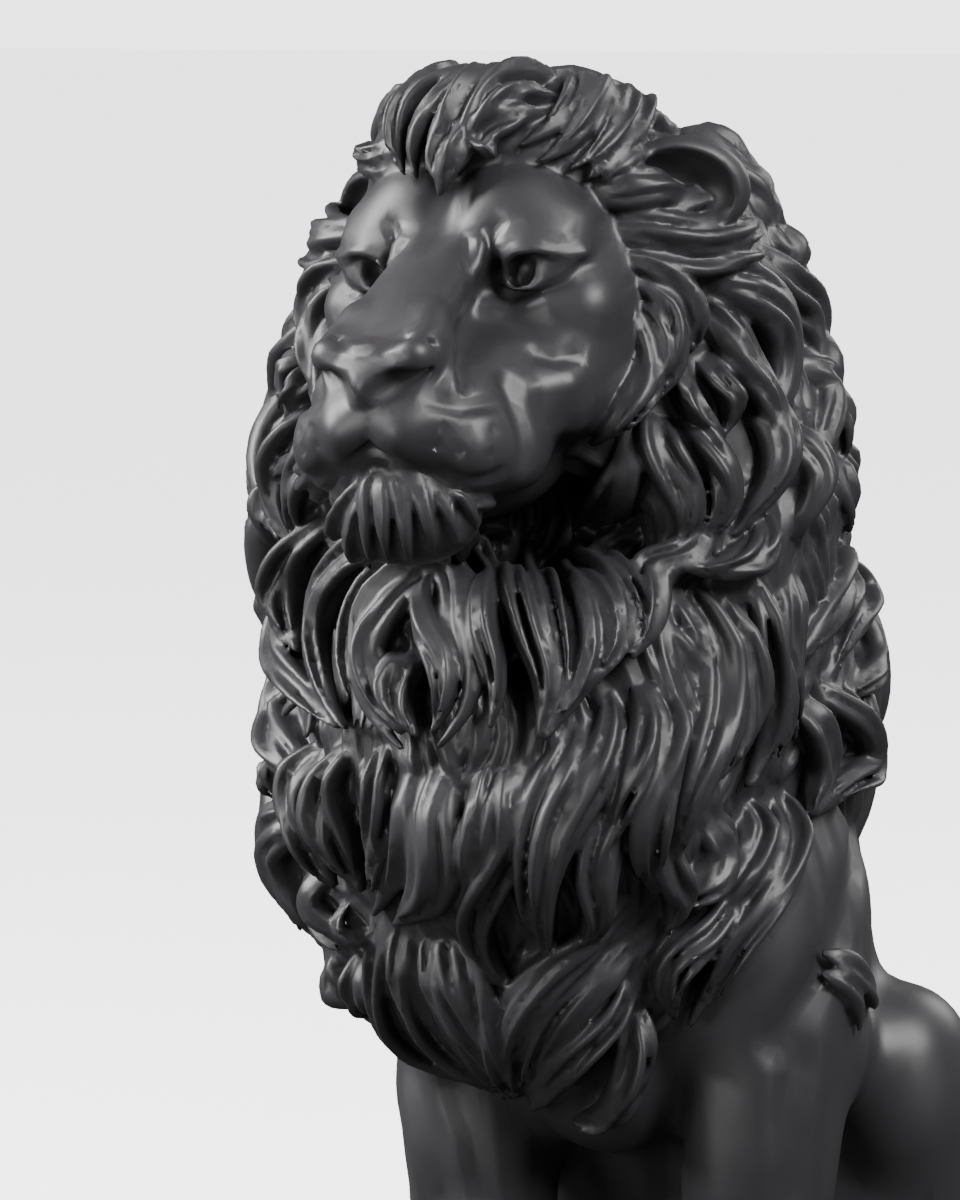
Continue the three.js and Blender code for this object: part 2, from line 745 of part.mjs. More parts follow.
function meshOf(solid, name, material) {
  const made = solid.getMesh();
  const shape = new THREE.BufferGeometry();
  shape.setAttribute("position", new THREE.BufferAttribute(made.vertProperties, 3));
  shape.setIndex(new THREE.BufferAttribute(made.triVerts, 1));
  shape.computeVertexNormals();
  const mesh = new THREE.Mesh(shape, material);
  mesh.name = name;
  return mesh;
}

const porcelain = new THREE.MeshStandardMaterial({
  color: 0x242326,
  roughness: 0.42,
  metalness: 0,
});

const figurine = new THREE.Group();
figurine.add(meshOf(lion(), "lion_figurine", porcelain));

export default figurine;
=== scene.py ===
# A seated lion in matt black porcelain, cast in one with its low base.
# Sizes are in millimetres and become metres where a mesh is made. The lion faces -Y, its left is +X.
import math
import time
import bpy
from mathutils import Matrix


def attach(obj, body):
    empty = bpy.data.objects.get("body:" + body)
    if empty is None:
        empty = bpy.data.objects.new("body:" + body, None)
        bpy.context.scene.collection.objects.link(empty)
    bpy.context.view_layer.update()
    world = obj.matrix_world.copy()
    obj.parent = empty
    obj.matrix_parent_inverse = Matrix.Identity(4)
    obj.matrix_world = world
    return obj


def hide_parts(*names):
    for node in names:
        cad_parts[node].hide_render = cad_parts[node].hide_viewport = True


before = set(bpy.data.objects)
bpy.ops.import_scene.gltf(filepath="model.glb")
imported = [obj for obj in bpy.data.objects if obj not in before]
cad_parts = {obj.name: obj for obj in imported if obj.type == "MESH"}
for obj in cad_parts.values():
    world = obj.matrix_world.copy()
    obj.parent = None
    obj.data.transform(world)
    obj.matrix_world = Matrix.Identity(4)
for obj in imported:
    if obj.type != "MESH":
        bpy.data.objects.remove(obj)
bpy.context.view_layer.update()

from concurrent.futures import ThreadPoolExecutor
from functools import reduce

import bpy
import bmesh
import numpy as np
import openvdb
from mathutils import Euler, Vector

startTime = time.time()
millimetre = 0.001


def stage(text):
    print(f"{text}: {time.time() - startTime:.1f} s")


def linked(name, data):
    made = bpy.data.objects.new(name, data)
    bpy.context.scene.collection.objects.link(made)
    return made


# Camera and light

viewpoint = {
    "azimuth": 19, "elevation": 6, "distance": 2.2,  # degrees and metres, from the lion's front
    "aimAcross": -0.049, "aimHeight": 0.371, "legLine": -0.065,  # metres
    "imageWidth": 960, "imageHeight": 1200, "pixelsPerMetre": 2860,
}
focalPixels = viewpoint["pixelsPerMetre"] * viewpoint["distance"]


def viewFrame():
    azimuth, elevation = math.radians(viewpoint["azimuth"]), math.radians(viewpoint["elevation"])
    right = Vector((math.cos(azimuth), math.sin(azimuth), 0))
    away = Vector((-math.sin(azimuth), math.cos(azimuth), 0))
    target = Vector((0, viewpoint["legLine"], viewpoint["aimHeight"])) + right * viewpoint["aimAcross"]
    ahead = away * math.cos(elevation) - Vector((0, 0, math.sin(elevation)))
    return target - ahead * viewpoint["distance"], right, ahead


def placeCamera():
    eye, _, ahead = viewFrame()
    data = bpy.data.cameras.new("camera")
    data.sensor_width = 36
    data.lens = focalPixels * data.sensor_width / viewpoint["imageHeight"]
    camera = linked("camera", data)
    camera.location = eye
    camera.rotation_euler = ahead.to_track_quat("-Z", "Y").to_euler()
    bpy.context.scene.camera = camera


studio = {
    "softboxes": [  # name, place, aim, size in metres, watts
        ("key", (-2.0, -0.7, 1.65), (0, -0.1, 0.42), (1.1, 1.5), 165),
        ("window", (1.8, -1.0, 1.9), (0, -0.05, 0.4), (1.2, 1.2), 104),
        ("front", (-1.0, -2.3, 0.45), (0, 0, 0.2), (0.8, 1.0), 24),
        ("rim", (0.9, 1.7, 1.4), (0, 0, 0.4), (0.8, 1.2), 20),
    ],
    "backdrop": (0.97, 0.975, 0.985, 1), "backdropGlow": 3.3, "ambient": 0.13,
    "floor": (0.8, 0.8, 0.81, 1), "floorGlow": 2.8, "floorRoughness": 0.8, "floorSize": 60,
}


def lightStudio():
    for name, place, aim, size, watts in studio["softboxes"]:
        data = bpy.data.lights.new(name, "AREA")
        data.shape = "RECTANGLE"
        data.size, data.size_y = size
        data.energy = watts
        lamp = linked(name, data)
        lamp.location = place
        lamp.rotation_euler = (Vector(aim) - lamp.location).to_track_quat("-Z", "Y").to_euler()
    world = bpy.data.worlds.new("studio")
    world.use_nodes = True
    tree = world.node_tree
    background = tree.nodes["Background"]
    background.inputs["Color"].default_value = studio["backdrop"]
    # The backdrop is seen bright, but lights the lion dimly.
    direct = tree.nodes.new("ShaderNodeLightPath").outputs["Is Camera Ray"]
    glow = tree.nodes.new("ShaderNodeMapRange")
    glow.inputs["To Min"].default_value = studio["ambient"]
    glow.inputs["To Max"].default_value = studio["backdropGlow"]
    tree.links.new(direct, glow.inputs["Value"])
    tree.links.new(glow.outputs[0], background.inputs["Strength"])
    bpy.context.scene.world = world


def layFloor():
    half = studio["floorSize"] / 2
    data = bpy.data.meshes.new("floor")
    corners = [(-half, -half, 0), (half, -half, 0), (half, half, 0), (-half, half, 0)]
    data.from_pydata(corners, [], [(0, 1, 2, 3)])
    floor = linked("floor", data)
    paint = bpy.data.materials.new("paleFloor")
    paint.use_nodes = True
    shader = paint.node_tree.nodes["Principled BSDF"]
    shader.inputs["Base Color"].default_value = studio["floor"]
    shader.inputs["Roughness"].default_value = studio["floorRoughness"]
    shader.inputs["Emission Color"].default_value = studio["backdrop"]
    shader.inputs["Emission Strength"].default_value = studio["floorGlow"]
    data.materials.append(paint)
    floor.visible_diffuse = floor.visible_glossy = False  # its glow stays off the lion


placeCamera()
lightStudio()
layFloor()
stage("camera, light and floor")


# Soft forms: each is a function from points to distances, below 0 inside it

def chance(seed):
    wave = np.sin(seed * 12.9898 + 4.1) * 43758.5453
    return wave - np.floor(wave)


def mix(a, b, t):
    return a + (b - a) * t


def along(values, t):
    return np.interp(np.clip(t, 0, 1), np.linspace(0, 1, len(values)), values)


def smoothstep(value, low, high):
    share = np.clip((value - low) / (high - low), 0, 1)
    return share * share * (3 - 2 * share)


def unit(vectors):
    return vectors / np.maximum(np.linalg.norm(vectors, axis=-1, keepdims=True), 1e-9)


def dot(a, b):
    return np.sum(a * b, axis=-1, keepdims=True)


def egg(centre, size, turn=(0, 0, 0)):
    spin = np.array(Euler([math.radians(a) for a in turn], "ZYX").to_matrix(), np.float32)
    centre, size = np.array(centre, np.float32), np.array(size, np.float32)

    def distance(points):
        local = ((points - centre) @ spin) / size
        reach = np.sqrt(np.einsum("ij,ij->i", local, local))
        local /= size
        slope = np.sqrt(np.einsum("ij,ij->i", local, local))
        return reach * (reach - 1) / np.maximum(slope, 1e-6)
    return distance


# A limb through stations [x, y, z, half width in X, half width in Y and Z].
def limb(stations):
    stations = np.array(stations, np.float32)

    def distance(points):
        nearest = np.full(len(points), np.inf, np.float32)
        for p, q in zip(stations[:-1], stations[1:]):
            way = q[:3] - p[:3]
            t = np.clip(((points - p[:3]) @ way) / (way @ way), 0, 1)[:, None]
            half = p[3:] + t * (q[3:] - p[3:])
            half = np.concatenate([half[:, :1], half[:, 1:2], half[:, 1:2]], axis=1)
            local = (points - p[:3] - t * way) / half
            reach = np.sqrt(np.einsum("ij,ij->i", local, local))
            local /= half
            slope = np.sqrt(np.einsum("ij,ij->i", local, local))
            nearest = np.minimum(nearest, reach * (reach - 1) / np.maximum(slope, 1e-6))
        return nearest
    return distance


# A round cord of clay, or a groove where it is cut, through points of one radius.
def thread(points, radius):
    return limb([[*point, radius, radius] for point in points])


# Forms (distance, softness) that run softly into each other. A third value of "cut" carves instead.
def blended(forms):
    def distance(points):
        whole = forms[0][0](points)
        for shape, softness, *way in forms[1:]:
            sign = -1 if way else 1
            old, new = sign * whole, shape(points)
            share = np.maximum(softness - np.abs(old - new), 0) / softness
            whole = sign * (np.minimum(old, new) - share * share * softness / 4)
        return whole
    return distance


def slopeOf(form, points):
    step = 0.5
    moves = np.eye(3) * step
    flat = points.reshape(-1, 3)
    slope = np.stack([form(flat + move) - form(flat - move) for move in moves], axis=-1)
    return unit(slope).reshape(points.shape)


# Where rays from inside a form come out of it.
def surfaceAt(form, origins, directions, reach=260):
    inside, outside = np.zeros(len(origins)), np.full(len(origins), float(reach))
    for _ in range(30):
        middle = (inside + outside) / 2
        within = form(origins + directions * middle[:, None]) < 0
        inside, outside = np.where(within, middle, inside), np.where(within, outside, middle)
    return origins + directions * inside[:, None]


# Where a form shows at points of the picture, or passes nearest to them.
def seenAt(form, picture):
    eye, right, ahead = [np.array(value) for value in viewFrame()]
    eye = eye / millimetre
    across = (picture[:, :1] - viewpoint["imageWidth"] / 2) / focalPixels
    down = (picture[:, 1:] - viewpoint["imageHeight"] / 2) / focalPixels
    rays = unit(ahead + right * across - np.cross(right, ahead) * down)
    nearest, furthest, step = 1960, 2360, 2.5  # millimetres from the eye
    depths = np.arange(nearest, furthest, step)
    points = eye + rays[:, None] * depths[:, None]
    distance = form(points.reshape(-1, 3)).reshape(len(rays), -1)
    first = np.where((distance < 0).any(1), (distance < 0).argmax(1), distance.argmin(1))
    return points[np.arange(len(rays)), first]


# Brings points that lie near a form onto it.
def settled(form, points):
    flat = points.reshape(-1, 3)
    for _ in range(2):
        flat = flat - slopeOf(form, flat) * form(flat)[:, None]
    return flat.reshape(points.shape)


# An even, smooth path through corners given as across, down, across, down and so on.
def eased(corners, count):
    corners = np.array(corners, float).reshape(-1, 2)
    steps = np.concatenate([[0], np.cumsum(np.linalg.norm(np.diff(corners, axis=0), axis=1))])
    t = np.linspace(0, steps[-1], count)
    slopes = np.gradient(corners, steps, axis=0)
    k = np.clip(np.searchsorted(steps, t, side="right") - 1, 0, len(steps) - 2)
    gap = steps[k + 1] - steps[k]
    u = ((t - steps[k]) / gap)[:, None]
    gap = gap[:, None]
    return (2 * u**3 - 3 * u**2 + 1) * corners[k] + (u**3 - 2 * u**2 + u) * gap * slopes[k] \
        + (3 * u**2 - 2 * u**3) * corners[k + 1] + (u**3 - u**2) * gap * slopes[k + 1]


def spaced(path, count):
    steps = np.concatenate([[0], np.cumsum(np.linalg.norm(np.diff(path, axis=0), axis=1))])
    even = np.linspace(0, steps[-1], count)
    return np.stack([np.interp(even, steps, column) for column in path.T], axis=1)


def meshObject(name, points, faces):
    data = bpy.data.meshes.new(name)
    data.vertices.add(len(points))
    data.vertices.foreach_set("co", np.asarray(points, np.float32).ravel())
    sides = faces.shape[1]
    data.loops.add(faces.size)
    data.loops.foreach_set("vertex_index", faces.astype(np.int32).ravel())
    data.polygons.add(len(faces))
    data.polygons.foreach_set("loop_start", np.arange(0, faces.size, sides, dtype=np.int32))
    data.update(calc_edges=True)
    return linked(name, data)


def bake(piece):
    evaluated = piece.evaluated_get(bpy.context.evaluated_depsgraph_get())
    data = bpy.data.meshes.new_from_object(evaluated)
    piece.modifiers.clear()
    piece.data = data
    return piece


# The closed skin of a form inside a box: the distance is worked out in blocks near the skin alone.
def tracedSkin(name, form, low, high, cell, triangles):
    block, batch, reach = 12, 16, 3.0  # cells a side, blocks a thread takes at once, cells
    low = np.array(low, float)
    blocks = np.ceil((np.array(high) - low) / cell / block).astype(int)
    grid = np.full(blocks * block, reach, np.float32)
    corners = np.stack(np.meshgrid(*[np.arange(n) for n in blocks], indexing="ij"), -1).reshape(-1, 3)
    corners = corners * block
    middle = form((low + (corners + block / 2) * cell).astype(np.float32))
    for i, j, k in corners[middle < -block * cell]:
        grid[i:i + block, j:j + block, k:k + block] = -reach
    near = corners[np.abs(middle) <= block * cell]
    local = np.stack(np.meshgrid(*[np.arange(block)] * 3, indexing="ij"), -1).reshape(-1, 3)

    def filled(start):
        some = near[start:start + batch]
        places = (some[:, None, :] + local).reshape(-1, 3)
        values = np.clip(form((low + places * cell).astype(np.float32)) / cell, -reach, reach)
        for (i, j, k), value in zip(some, values.reshape(len(some), block, block, block)):
            grid[i:i + block, j:j + block, k:k + block] = value
    with ThreadPoolExecutor() as pool:
        list(pool.map(filled, range(0, len(near), batch)))
    grid[0], grid[-1], grid[:, 0], grid[:, -1], grid[:, :, 0], grid[:, :, -1] = [reach] * 6
    volume = openvdb.FloatGrid(reach)
    volume.copyFromArray(grid)
    points, _, quads = volume.convertToPolygons(isovalue=0.0, adaptivity=0.0)
    skin = meshObject(name, (low + points * cell) * millimetre, quads)
    thinned = skin.modifiers.new("thinned", "DECIMATE")
    thinned.ratio = min(1, triangles / (2 * len(quads)))
    return bake(skin)


# The lion's own sizes, as the construction has them

lion = {
    "baseHeight": 16, "baseWidth": 264, "baseLength": 280, "baseCorner": 96, "baseBevel": 3,
    "legLine": -65, "legSpread": 47, "kneeHeight": 192,
    "headTurn": -9, "headRoll": 2, "headCentre": (-21.6, -98.9, 515),
}
headSpin = np.array((Euler((0, 0, math.radians(lion["headTurn"]))).to_matrix()
                     @ Euler((0, math.radians(-lion["headRoll"]), 0)).to_matrix()))
headCentre = np.array(lion["headCentre"])


def fromHead(points):
    return np.asarray(points, float) @ headSpin.T + headCentre


def toHead(points):
    return (np.asarray(points) - headCentre) @ headSpin


def pair(make):
    return [make(1), make(-1)]


maneMasses = {
    "crown": [(-21, -80, 482), (75, 70, 60)],
    "forelock": [(-26, -124, 528), (42, 31, 25)],
    "ruff": [(-24, -68, 405), (98, 75, 104)],
    "bib": [(-16, -105, 330), (70, 64, 72)],
    "chest": [(-18, -92, 268), (60, 44, 60)],
    "cape": [(-18, -42, 332), (90, 70, 82)],
    "fall": [(-66, -84, 305), (46, 46, 72)],
    "withers": [(-5, 0, 340), (66, 60, 82)],
}
throatHollow = [(-6, -140, 398), (46, 38, 26)]
maneForm = blended([*[(egg(centre, size), 26) for centre, size in maneMasses.values()],
                    (egg(*throatHollow), 14, "cut")])


def paw(x, y, width, length):
    sole, height = lion["baseHeight"] - 2, 0.66 * width
    forms = [(egg((x, y, sole + 0.55 * height), (0.84 * width, length, 0.62 * height)), 10)]
    for across in (-0.68, -0.24, 0.24, 0.68):
        toe = (x + across * width, y - length * (0.82 - 0.28 * across * across), sole + 0.48 * height)
        forms.append((egg(toe, (0.27 * width, 0.34 * length, 0.5 * height), (0, 0, -14 * across)), 2))
        claw = (toe[0] + 2 * across, toe[1] - 0.33 * length, toe[2] - 0.12 * height)
        forms.append((egg(claw, (0.09 * width, 0.1 * length, 0.14 * height)), 1.5))
    return forms


def foreleg(side):
    x, y = side * lion["legSpread"], lion["legLine"]
    shaft = limb([
        (side * 54, y + 16, 260, 27, 38), (side * 54, y + 8, 215, 28, 36), (side * 51, y + 3, 165, 26, 29),
        (x, y, 125, 22, 24), (x, y - 2, 82, 18.5, 19), (x + side, y - 4, 60, 20, 20.5),
        (x + side, y - 10, 38, 21, 20),
    ])
    return [
        (egg((side * 50, y + 14, 258), (31, 48, 66), (0, side * -8, 0)), 14),
        (shaft, 16),
        (egg((side * 58, y + 34, 208), (20, 20, 26)), 12),
        (egg((side * 59, y - 6, 196), (17, 22, 48), (-4, 0, 0)), 9),
        (egg((side * 44, y - 10, 176), (15, 18, 44), (4, 0, 0)), 9),
        *paw(x + side * 3, y - 26, 29, 36),
    ]


def hindleg(side):
    x = side * 84
    shank = limb([
        (x, 12, lion["kneeHeight"] - 14, 24, 27), (x + side, 34, 130, 24, 30),
        (x + side * 2, 76, 66, 18, 22), (x + side * 2, 98, 34, 15, 16),
    ])
    foot = limb([
        (x + side * 2, 100, 31, 14, 14), (x + side * 3, 54, 29, 16, 13), (x + side * 4, 8, 31, 20, 15),
    ])
    return [
        (egg((side * 70, 46, 128), (38, 62, 80), (-20, 0, 0)), 20),
        (egg((x - side, 16, lion["kneeHeight"]), (25, 31, 36), (24, 0, 0)), 18),
        (shank, 10),
        (foot, 8),
        *paw(x + side * 4, -12, 27, 30),
    ]


def torso():
    trunk = limb([
        (0, -36, 330, 60, 66), (0, -22, 290, 70, 74), (0, 6, 225, 72, 72),
        (0, 38, 160, 70, 68), (0, 60, 105, 66, 60), (0, 66, 70, 60, 50),
    ])
    return [(trunk, 1), (egg((0, -70, 262), (52, 44, 86)), 24), (egg((0, 92, 74), (56, 38, 54)), 24)]


def tail():
    ground = lion["baseHeight"] + 9
    rope = limb([
        (0, 108, 60, 16, 15), (-28, 124, ground + 8, 13, 12.5), (-72, 118, ground, 11, 10.5),
        (-106, 90, ground, 10.5, 10), (-120, 44, ground, 10, 10), (-119, 6, ground, 9.5, 9.5),
        (-118, -4, ground + 1, 12, 11), (-112, -26, ground + 2, 14, 12),
        (-103, -46, ground, 11, 9), (-95, -62, ground - 3, 5, 5),
    ])
    return [(rope, 8)]


plainBody = blended([*torso(), (maneForm, 12), *foreleg(1), *foreleg(-1),
                     *hindleg(1), *hindleg(-1), *tail()])


# Grooves between the muscles, drawn as they show from the viewpoint: radius, softness, then points.
muscleGrooves = [
    (2.4, 14, 812, 815, 832, 880, 838, 935, 822, 980, 780, 1040),
    (2.0, 12, 836, 780, 858, 840, 852, 905, 838, 950),
    (2.2, 12, 652, 1055, 664, 1100, 668, 1150, 672, 1200),
    (1.8, 12, 800, 1060, 790, 1110, 796, 1160, 792, 1200),
    (2.0, 14, 405, 1060, 420, 1110, 432, 1160, 440, 1200),
    (1.8, 12, 455, 1090, 472, 1140, 482, 1200),
]


def groove(radius, softness, *corners):
    path = settled(plainBody, seenAt(plainBody, eased(corners, 12)))
    return thread(path, radius), softness, "cut"


bodyForm = blended([(plainBody, 1), *[groove(*one) for one in muscleGrooves]])


# The head in its own frame: +X its left, -Y forward, origin midway between the ears

def mirrored(points, s):
    return [(s * x, *rest) for x, *rest in points]


def skull():
    return [
        (egg((0, -8, -24), (54, 57, 47)), 1),
        (egg((0, -46, -84), (30, 40, 25)), 18),
        *pair(lambda s: (egg((s * 38, -30, -44), (17, 30, 26)), 12)),
        *pair(lambda s: (egg((s * 33, -43, -62), (19, 29, 21)), 9)),
        *pair(lambda s: (egg((s * 18, -42, -7), (21, 21, 19)), 10)),
        *pair(lambda s: (egg((s * 31, -47, -13), (16, 13, 11), (0, s * -14, s * 22)), 8)),
        *pair(lambda s: (egg((s * 42, -43, -36), (11, 15, 11), (0, s * 20, s * 30)), 8)),
    ]


def snout():
    plane = [(6, -56, -18, 10.5, 8), (6, -72, -27.5, 12, 10.5), (6, -88, -37, 12.5, 10.5),
             (7.5, -102, -46.5, 12.5, 9.5), (9, -111, -53, 11.5, 8.5)]
    underLip = [(14, -113, -100, 4, 5), (26, -101, -107, 5, 6), (36, -85, -108, 5, 6), (43, -72, -101, 3, 4)]
    lipWedge = [(0, -125, -85, 1.5, 2), (0, -120, -91, 5, 4), (0, -116, -98, 11, 7), (0, -112, -104, 16, 8)]
    return [
        (egg((0, -74, -62), (34, 36, 24), (14, 0, 0)), 10),
        *pair(lambda s: (limb(mirrored(plane, s)), 10)),
        (egg((0, -90, -71.5), (37, 33, 21)), 7),
        *pair(lambda s: (egg((s * 21, -90, -81), (16.5, 24, 17.5), (0, 0, s * 24)), 6)),
        *pair(lambda s: (egg((s * 31, -74, -83), (10, 20, 14), (0, 0, s * 14)), 9)),
        *pair(lambda s: (egg((s * 10.5, -104, -75), (11.5, 20, 13)), 5)),
        *pair(lambda s: (limb(mirrored(underLip, s)), 2.5, "cut")),
        (limb(lipWedge), 2, "cut"),
        (limb([(0, -60, 6, 3, 5), (0, -70, -7, 3, 4.5), (0, -79, -14, 1.5, 2)]), 9, "cut"),
        (egg((0, -115.5, -53.5), (17.5, 10, 8), (-22, 0, 0)), 2.5),
        (egg((0, -117, -60), (9, 9.5, 8.5)), 2.5),
        *pair(lambda s: (egg((s * 15.5, -111, -51.5), (7, 9, 6.5)), 3)),
        (egg((0, -95, -104), (26, 19, 17)), 2),
        (egg((0, -99, -95), (15, 15, 11)), 5),
    ]


faceForm = blended([*skull(), *snout()])  # the face before its small features
faceMiddle = np.array((0, -48, -52.0))


# Carries points onto the face, along rays from inside the head, and lifts them by a height.
def onFace(points, lift, s=1):
    points = np.array(mirrored(points, s), float)
    inner = faceMiddle + (points - faceMiddle) * (0.25, 0.1, 0.6)
    way = unit(points - inner)
    return surfaceAt(faceForm, inner, way, 120) + way * lift


def crease(points, radius, soft=3, lift=0.0):
    return [(thread(onFace(points, lift, s), radius), soft, "cut") for s in (1, -1)]


def fold(points, radius, soft=5, lift=-0.6):
    return [(thread(onFace(points, lift * radius, s), radius), soft) for s in (1, -1)]


whiskerPits = [(24, -112, -73.5), (29, -105, -74.5), (34, -97, -74.5),
               (22, -114, -79.5), (27.5, -107, -81), (33, -98, -81.5)]


def mouthAndNose():
    lipLine = [(0, -119, -80, 1.8, 2.2), (8, -118, -84.5, 2, 2.4), (18, -112, -92.5, 2, 2.4),
               (28, -100, -100, 2, 2.4), (34, -87, -101, 1.6, 2.2), (39.5, -78, -95, 1, 1.6)]
    nostril = [(4, -126.5, -63, 2.2, 3), (8.5, -124.5, -61, 4, 4.6), (13.5, -120, -58, 4.6, 4.8),
               (18.5, -114.5, -53.5, 3.2, 3.4), (21.5, -109.5, -49, 1, 1.4)]
    return [
        *pair(lambda s: (limb(mirrored(nostril, s)), 1.4, "cut")),
        *crease([(11, -118, -46.5), (5, -122, -48), (0.5, -122.5, -47)], 1.0),
        *crease([(12, -122, -50), (6, -124, -51), (0.5, -124.5, -51.5)], 1.0),
        (limb([(0, -128, -66, 1, 1.6), (0, -126.5, -72, 1.4, 2.6), (0, -125, -82, 2, 4)]), 3, "cut"),
        *pair(lambda s: (limb(mirrored(lipLine, s)), 1.5, "cut")),
        *crease([(20, -108, -64.5), (26, -102, -66.5), (33, -92, -66)], 1.2, 5),
        *crease([(36, -89, -62), (38.5, -87, -72), (38.5, -84, -84)], 1.3, 8),
        *crease([(22, -108, -88), (28, -101, -90), (33, -93, -88)], 0.9, 4),
        *fold([(21, -104, -46), (22, -103, -54), (23.5, -104, -60)], 2, 5),
        *fold([(13, -94, -39), (16, -103, -44), (15, -111, -49)], 3.4, 8),
        *crease([(21, -70, -29), (22.5, -82, -37), (23.5, -94, -45)], 1.2, 12),
        *crease([(25, -102, -46), (24.8, -100, -50.5), (24, -103, -54), (26.5, -103, -61)], 1.0, 4),
        *crease([(13, -114, -45.5), (16, -110, -46), (19, -107, -47)], 0.7, 4),
        *crease([(39, -71, -52), (43, -67, -54.5), (48, -62, -53.5)], 0.8, 6),
        *fold([(34, -76, -63), (39, -72, -64.5), (44, -64, -63)], 2.2, 9),
        *fold([(41, -68, -71), (42.5, -67, -76)], 2.6, 7),
        *fold([(49, -60, -72), (49, -58, -77)], 2.4, 7),
        *[(egg(onFace([pit], -0.2, s)[0], (1.4, 1.4, 1.2)), 0.8, "cut")
          for s in (1, -1) for pit in whiskerPits],
    ]


def eyes():
    upper = [(21.5, -62, -27.5), (24, -65, -20.5), (29, -66, -18), (35, -64, -18), (42, -58.5, -20),
             (47, -53, -19.5)]
    lower = [(21, -61.5, -29), (25, -62.5, -31), (31, -62, -30.5), (38, -59.5, -27), (44, -55.5, -22.5)]
    return [
        *pair(lambda s: (egg((s * 33, -67, -24.5), (14.5, 8, 7.5), (0, s * 6, s * -14)), 8, "cut")),
        *pair(lambda s: (egg((s * 33, -50.5, -24.5), (11, 11.5, 9.5)), 1.2)),
        *pair(lambda s: (egg((s * 27.5, -62, -24), (5, 5.5, 5.2)), 1.5, "cut")),
        *pair(lambda s: (thread(mirrored(upper, s), 1.4), 3)),
        *pair(lambda s: (thread(mirrored(lower, s), 1.0), 2.5)),
        *fold([(20, -68, -13), (28, -68, -11.5), (36, -64, -10.5), (44, -57, -12), (50, -49, -16)], 2.6, 6),
        *crease([(27, -66, -13.5), (35, -64, -13), (43, -57.5, -14), (49, -50.5, -18)], 0.8, 2),
        *crease([(26, -63, -35), (32, -62, -35), (38, -59, -32.5)], 0.8, 4),
        *fold([(20, -67, -37), (29, -64, -39.5), (38, -60, -36.5)], 2, 8),
        *crease([(20, -72, -25.5), (19.5, -74, -28), (17, -77, -30.5), (16.5, -78, -36)], 0.9, 4),
        *crease([(14.5, -74, -13), (15, -76, -19), (15.5, -77, -25)], 1.0, 3),
        *fold([(18, -70, -11), (18, -73, -20)], 1.8, 4),
        *crease([(21.5, -69, -12), (20.8, -71, -20)], 0.8, 4),
        *crease([(22, -71, -8), (25.5, -68, -4)], 0.8, 4),
    ]


headForm = blended([*skull(), *snout(), *mouthAndNose(), *eyes()])


earPlace = {1: (64, -9, 1), -1: (-58, -5, -7)}  # the left and the right one, in the head's frame


def ear(side):
    turn = (0, side * 14, side * 32)
    x, y, z = earPlace[side]
    return blended([
        (egg((x, y, z), (22, 9, 17), turn), 1),
        (egg((x + side * 1.5, y - 8, z - 2), (19.5, 11.5, 14.5), turn), 1.2, "cut"),
    ])


# Hair: roots on the mane's form, and the way each lock runs from its root

faceForward, faceLeft = headSpin @ (0, -1, 0), headSpin @ (1, 0, 0)
up = np.array((0, 0, 1.0))
faceAxis = headCentre - 40 * up  # the mane opens round a line this far below the ears

# How the hair is combed. Pairs are the millimetres off, behind, before, above or below the face's axis
# over which a way of running sets in. The last row has the strength of each way.
combing = {
    "fallsOff": (50, 115), "fallsBehind": (10, 50), "partedAbove": (25, 60), "partedBefore": (-30, 10),
    "partingWidth": 18, "drawnInBelow": (40, 110), "drawnInWidth": 45,
    "outward": 0.85, "parted": 0.9, "drawnIn": 0.55, "backward": 0.8, "down": 0.25, "fallen": 1.1,
}


def flow(points, normals):
    forward = dot(points - faceAxis, faceForward)
    offAxis = points - faceAxis - forward * faceForward
    lateral, height = dot(offAxis, faceLeft), offAxis[:, 2:]
    fall = np.maximum(smoothstep(np.linalg.norm(offAxis, axis=1, keepdims=True), *combing["fallsOff"]),
                      smoothstep(-forward, *combing["fallsBehind"]))
    parting = smoothstep(height, *combing["partedAbove"]) * np.clip(lateral / combing["partingWidth"], -1, 1)
    parting = parting * smoothstep(forward, *combing["partedBefore"])
    drawnIn = smoothstep(-height, *combing["drawnInBelow"]) * np.maximum(dot(normals, faceForward), 0)
    drawnIn = drawnIn * np.clip(lateral / combing["drawnInWidth"], -1, 1)
    run = unit(offAxis) * (1 - combing["outward"] * fall) \
        + (combing["parted"] * parting - combing["drawnIn"] * drawnIn) * faceLeft \
        - combing["backward"] * (1 - fall) * faceForward - (combing["down"] + combing["fallen"] * fall) * up
    return unit(run - dot(run, normals) * normals)


def ringRoot(angle, setBack):
    a = math.radians(angle)
    out = faceLeft * math.cos(a) + up * math.sin(a)
    sides, top, bottom = 24, 32, 22  # millimetres before the axis, the last two on top of the first
    forward = sides + top * max(math.sin(a), 0) ** 2 + bottom * max(-math.sin(a), 0) ** 2
    return faceAxis + faceForward * (forward - setBack), out


def browRoot(across):
    start = fromHead((0.7 * across, -26, 12))
    return start, unit(fromHead((across, -62, 2 + 0.006 * across * across)) - start)


def collarRoot(angle, height):
    a = math.radians(angle)
    neck = (-12, -62)
    return np.array((*neck, height), float), np.array((math.sin(a), -math.cos(a), 0))


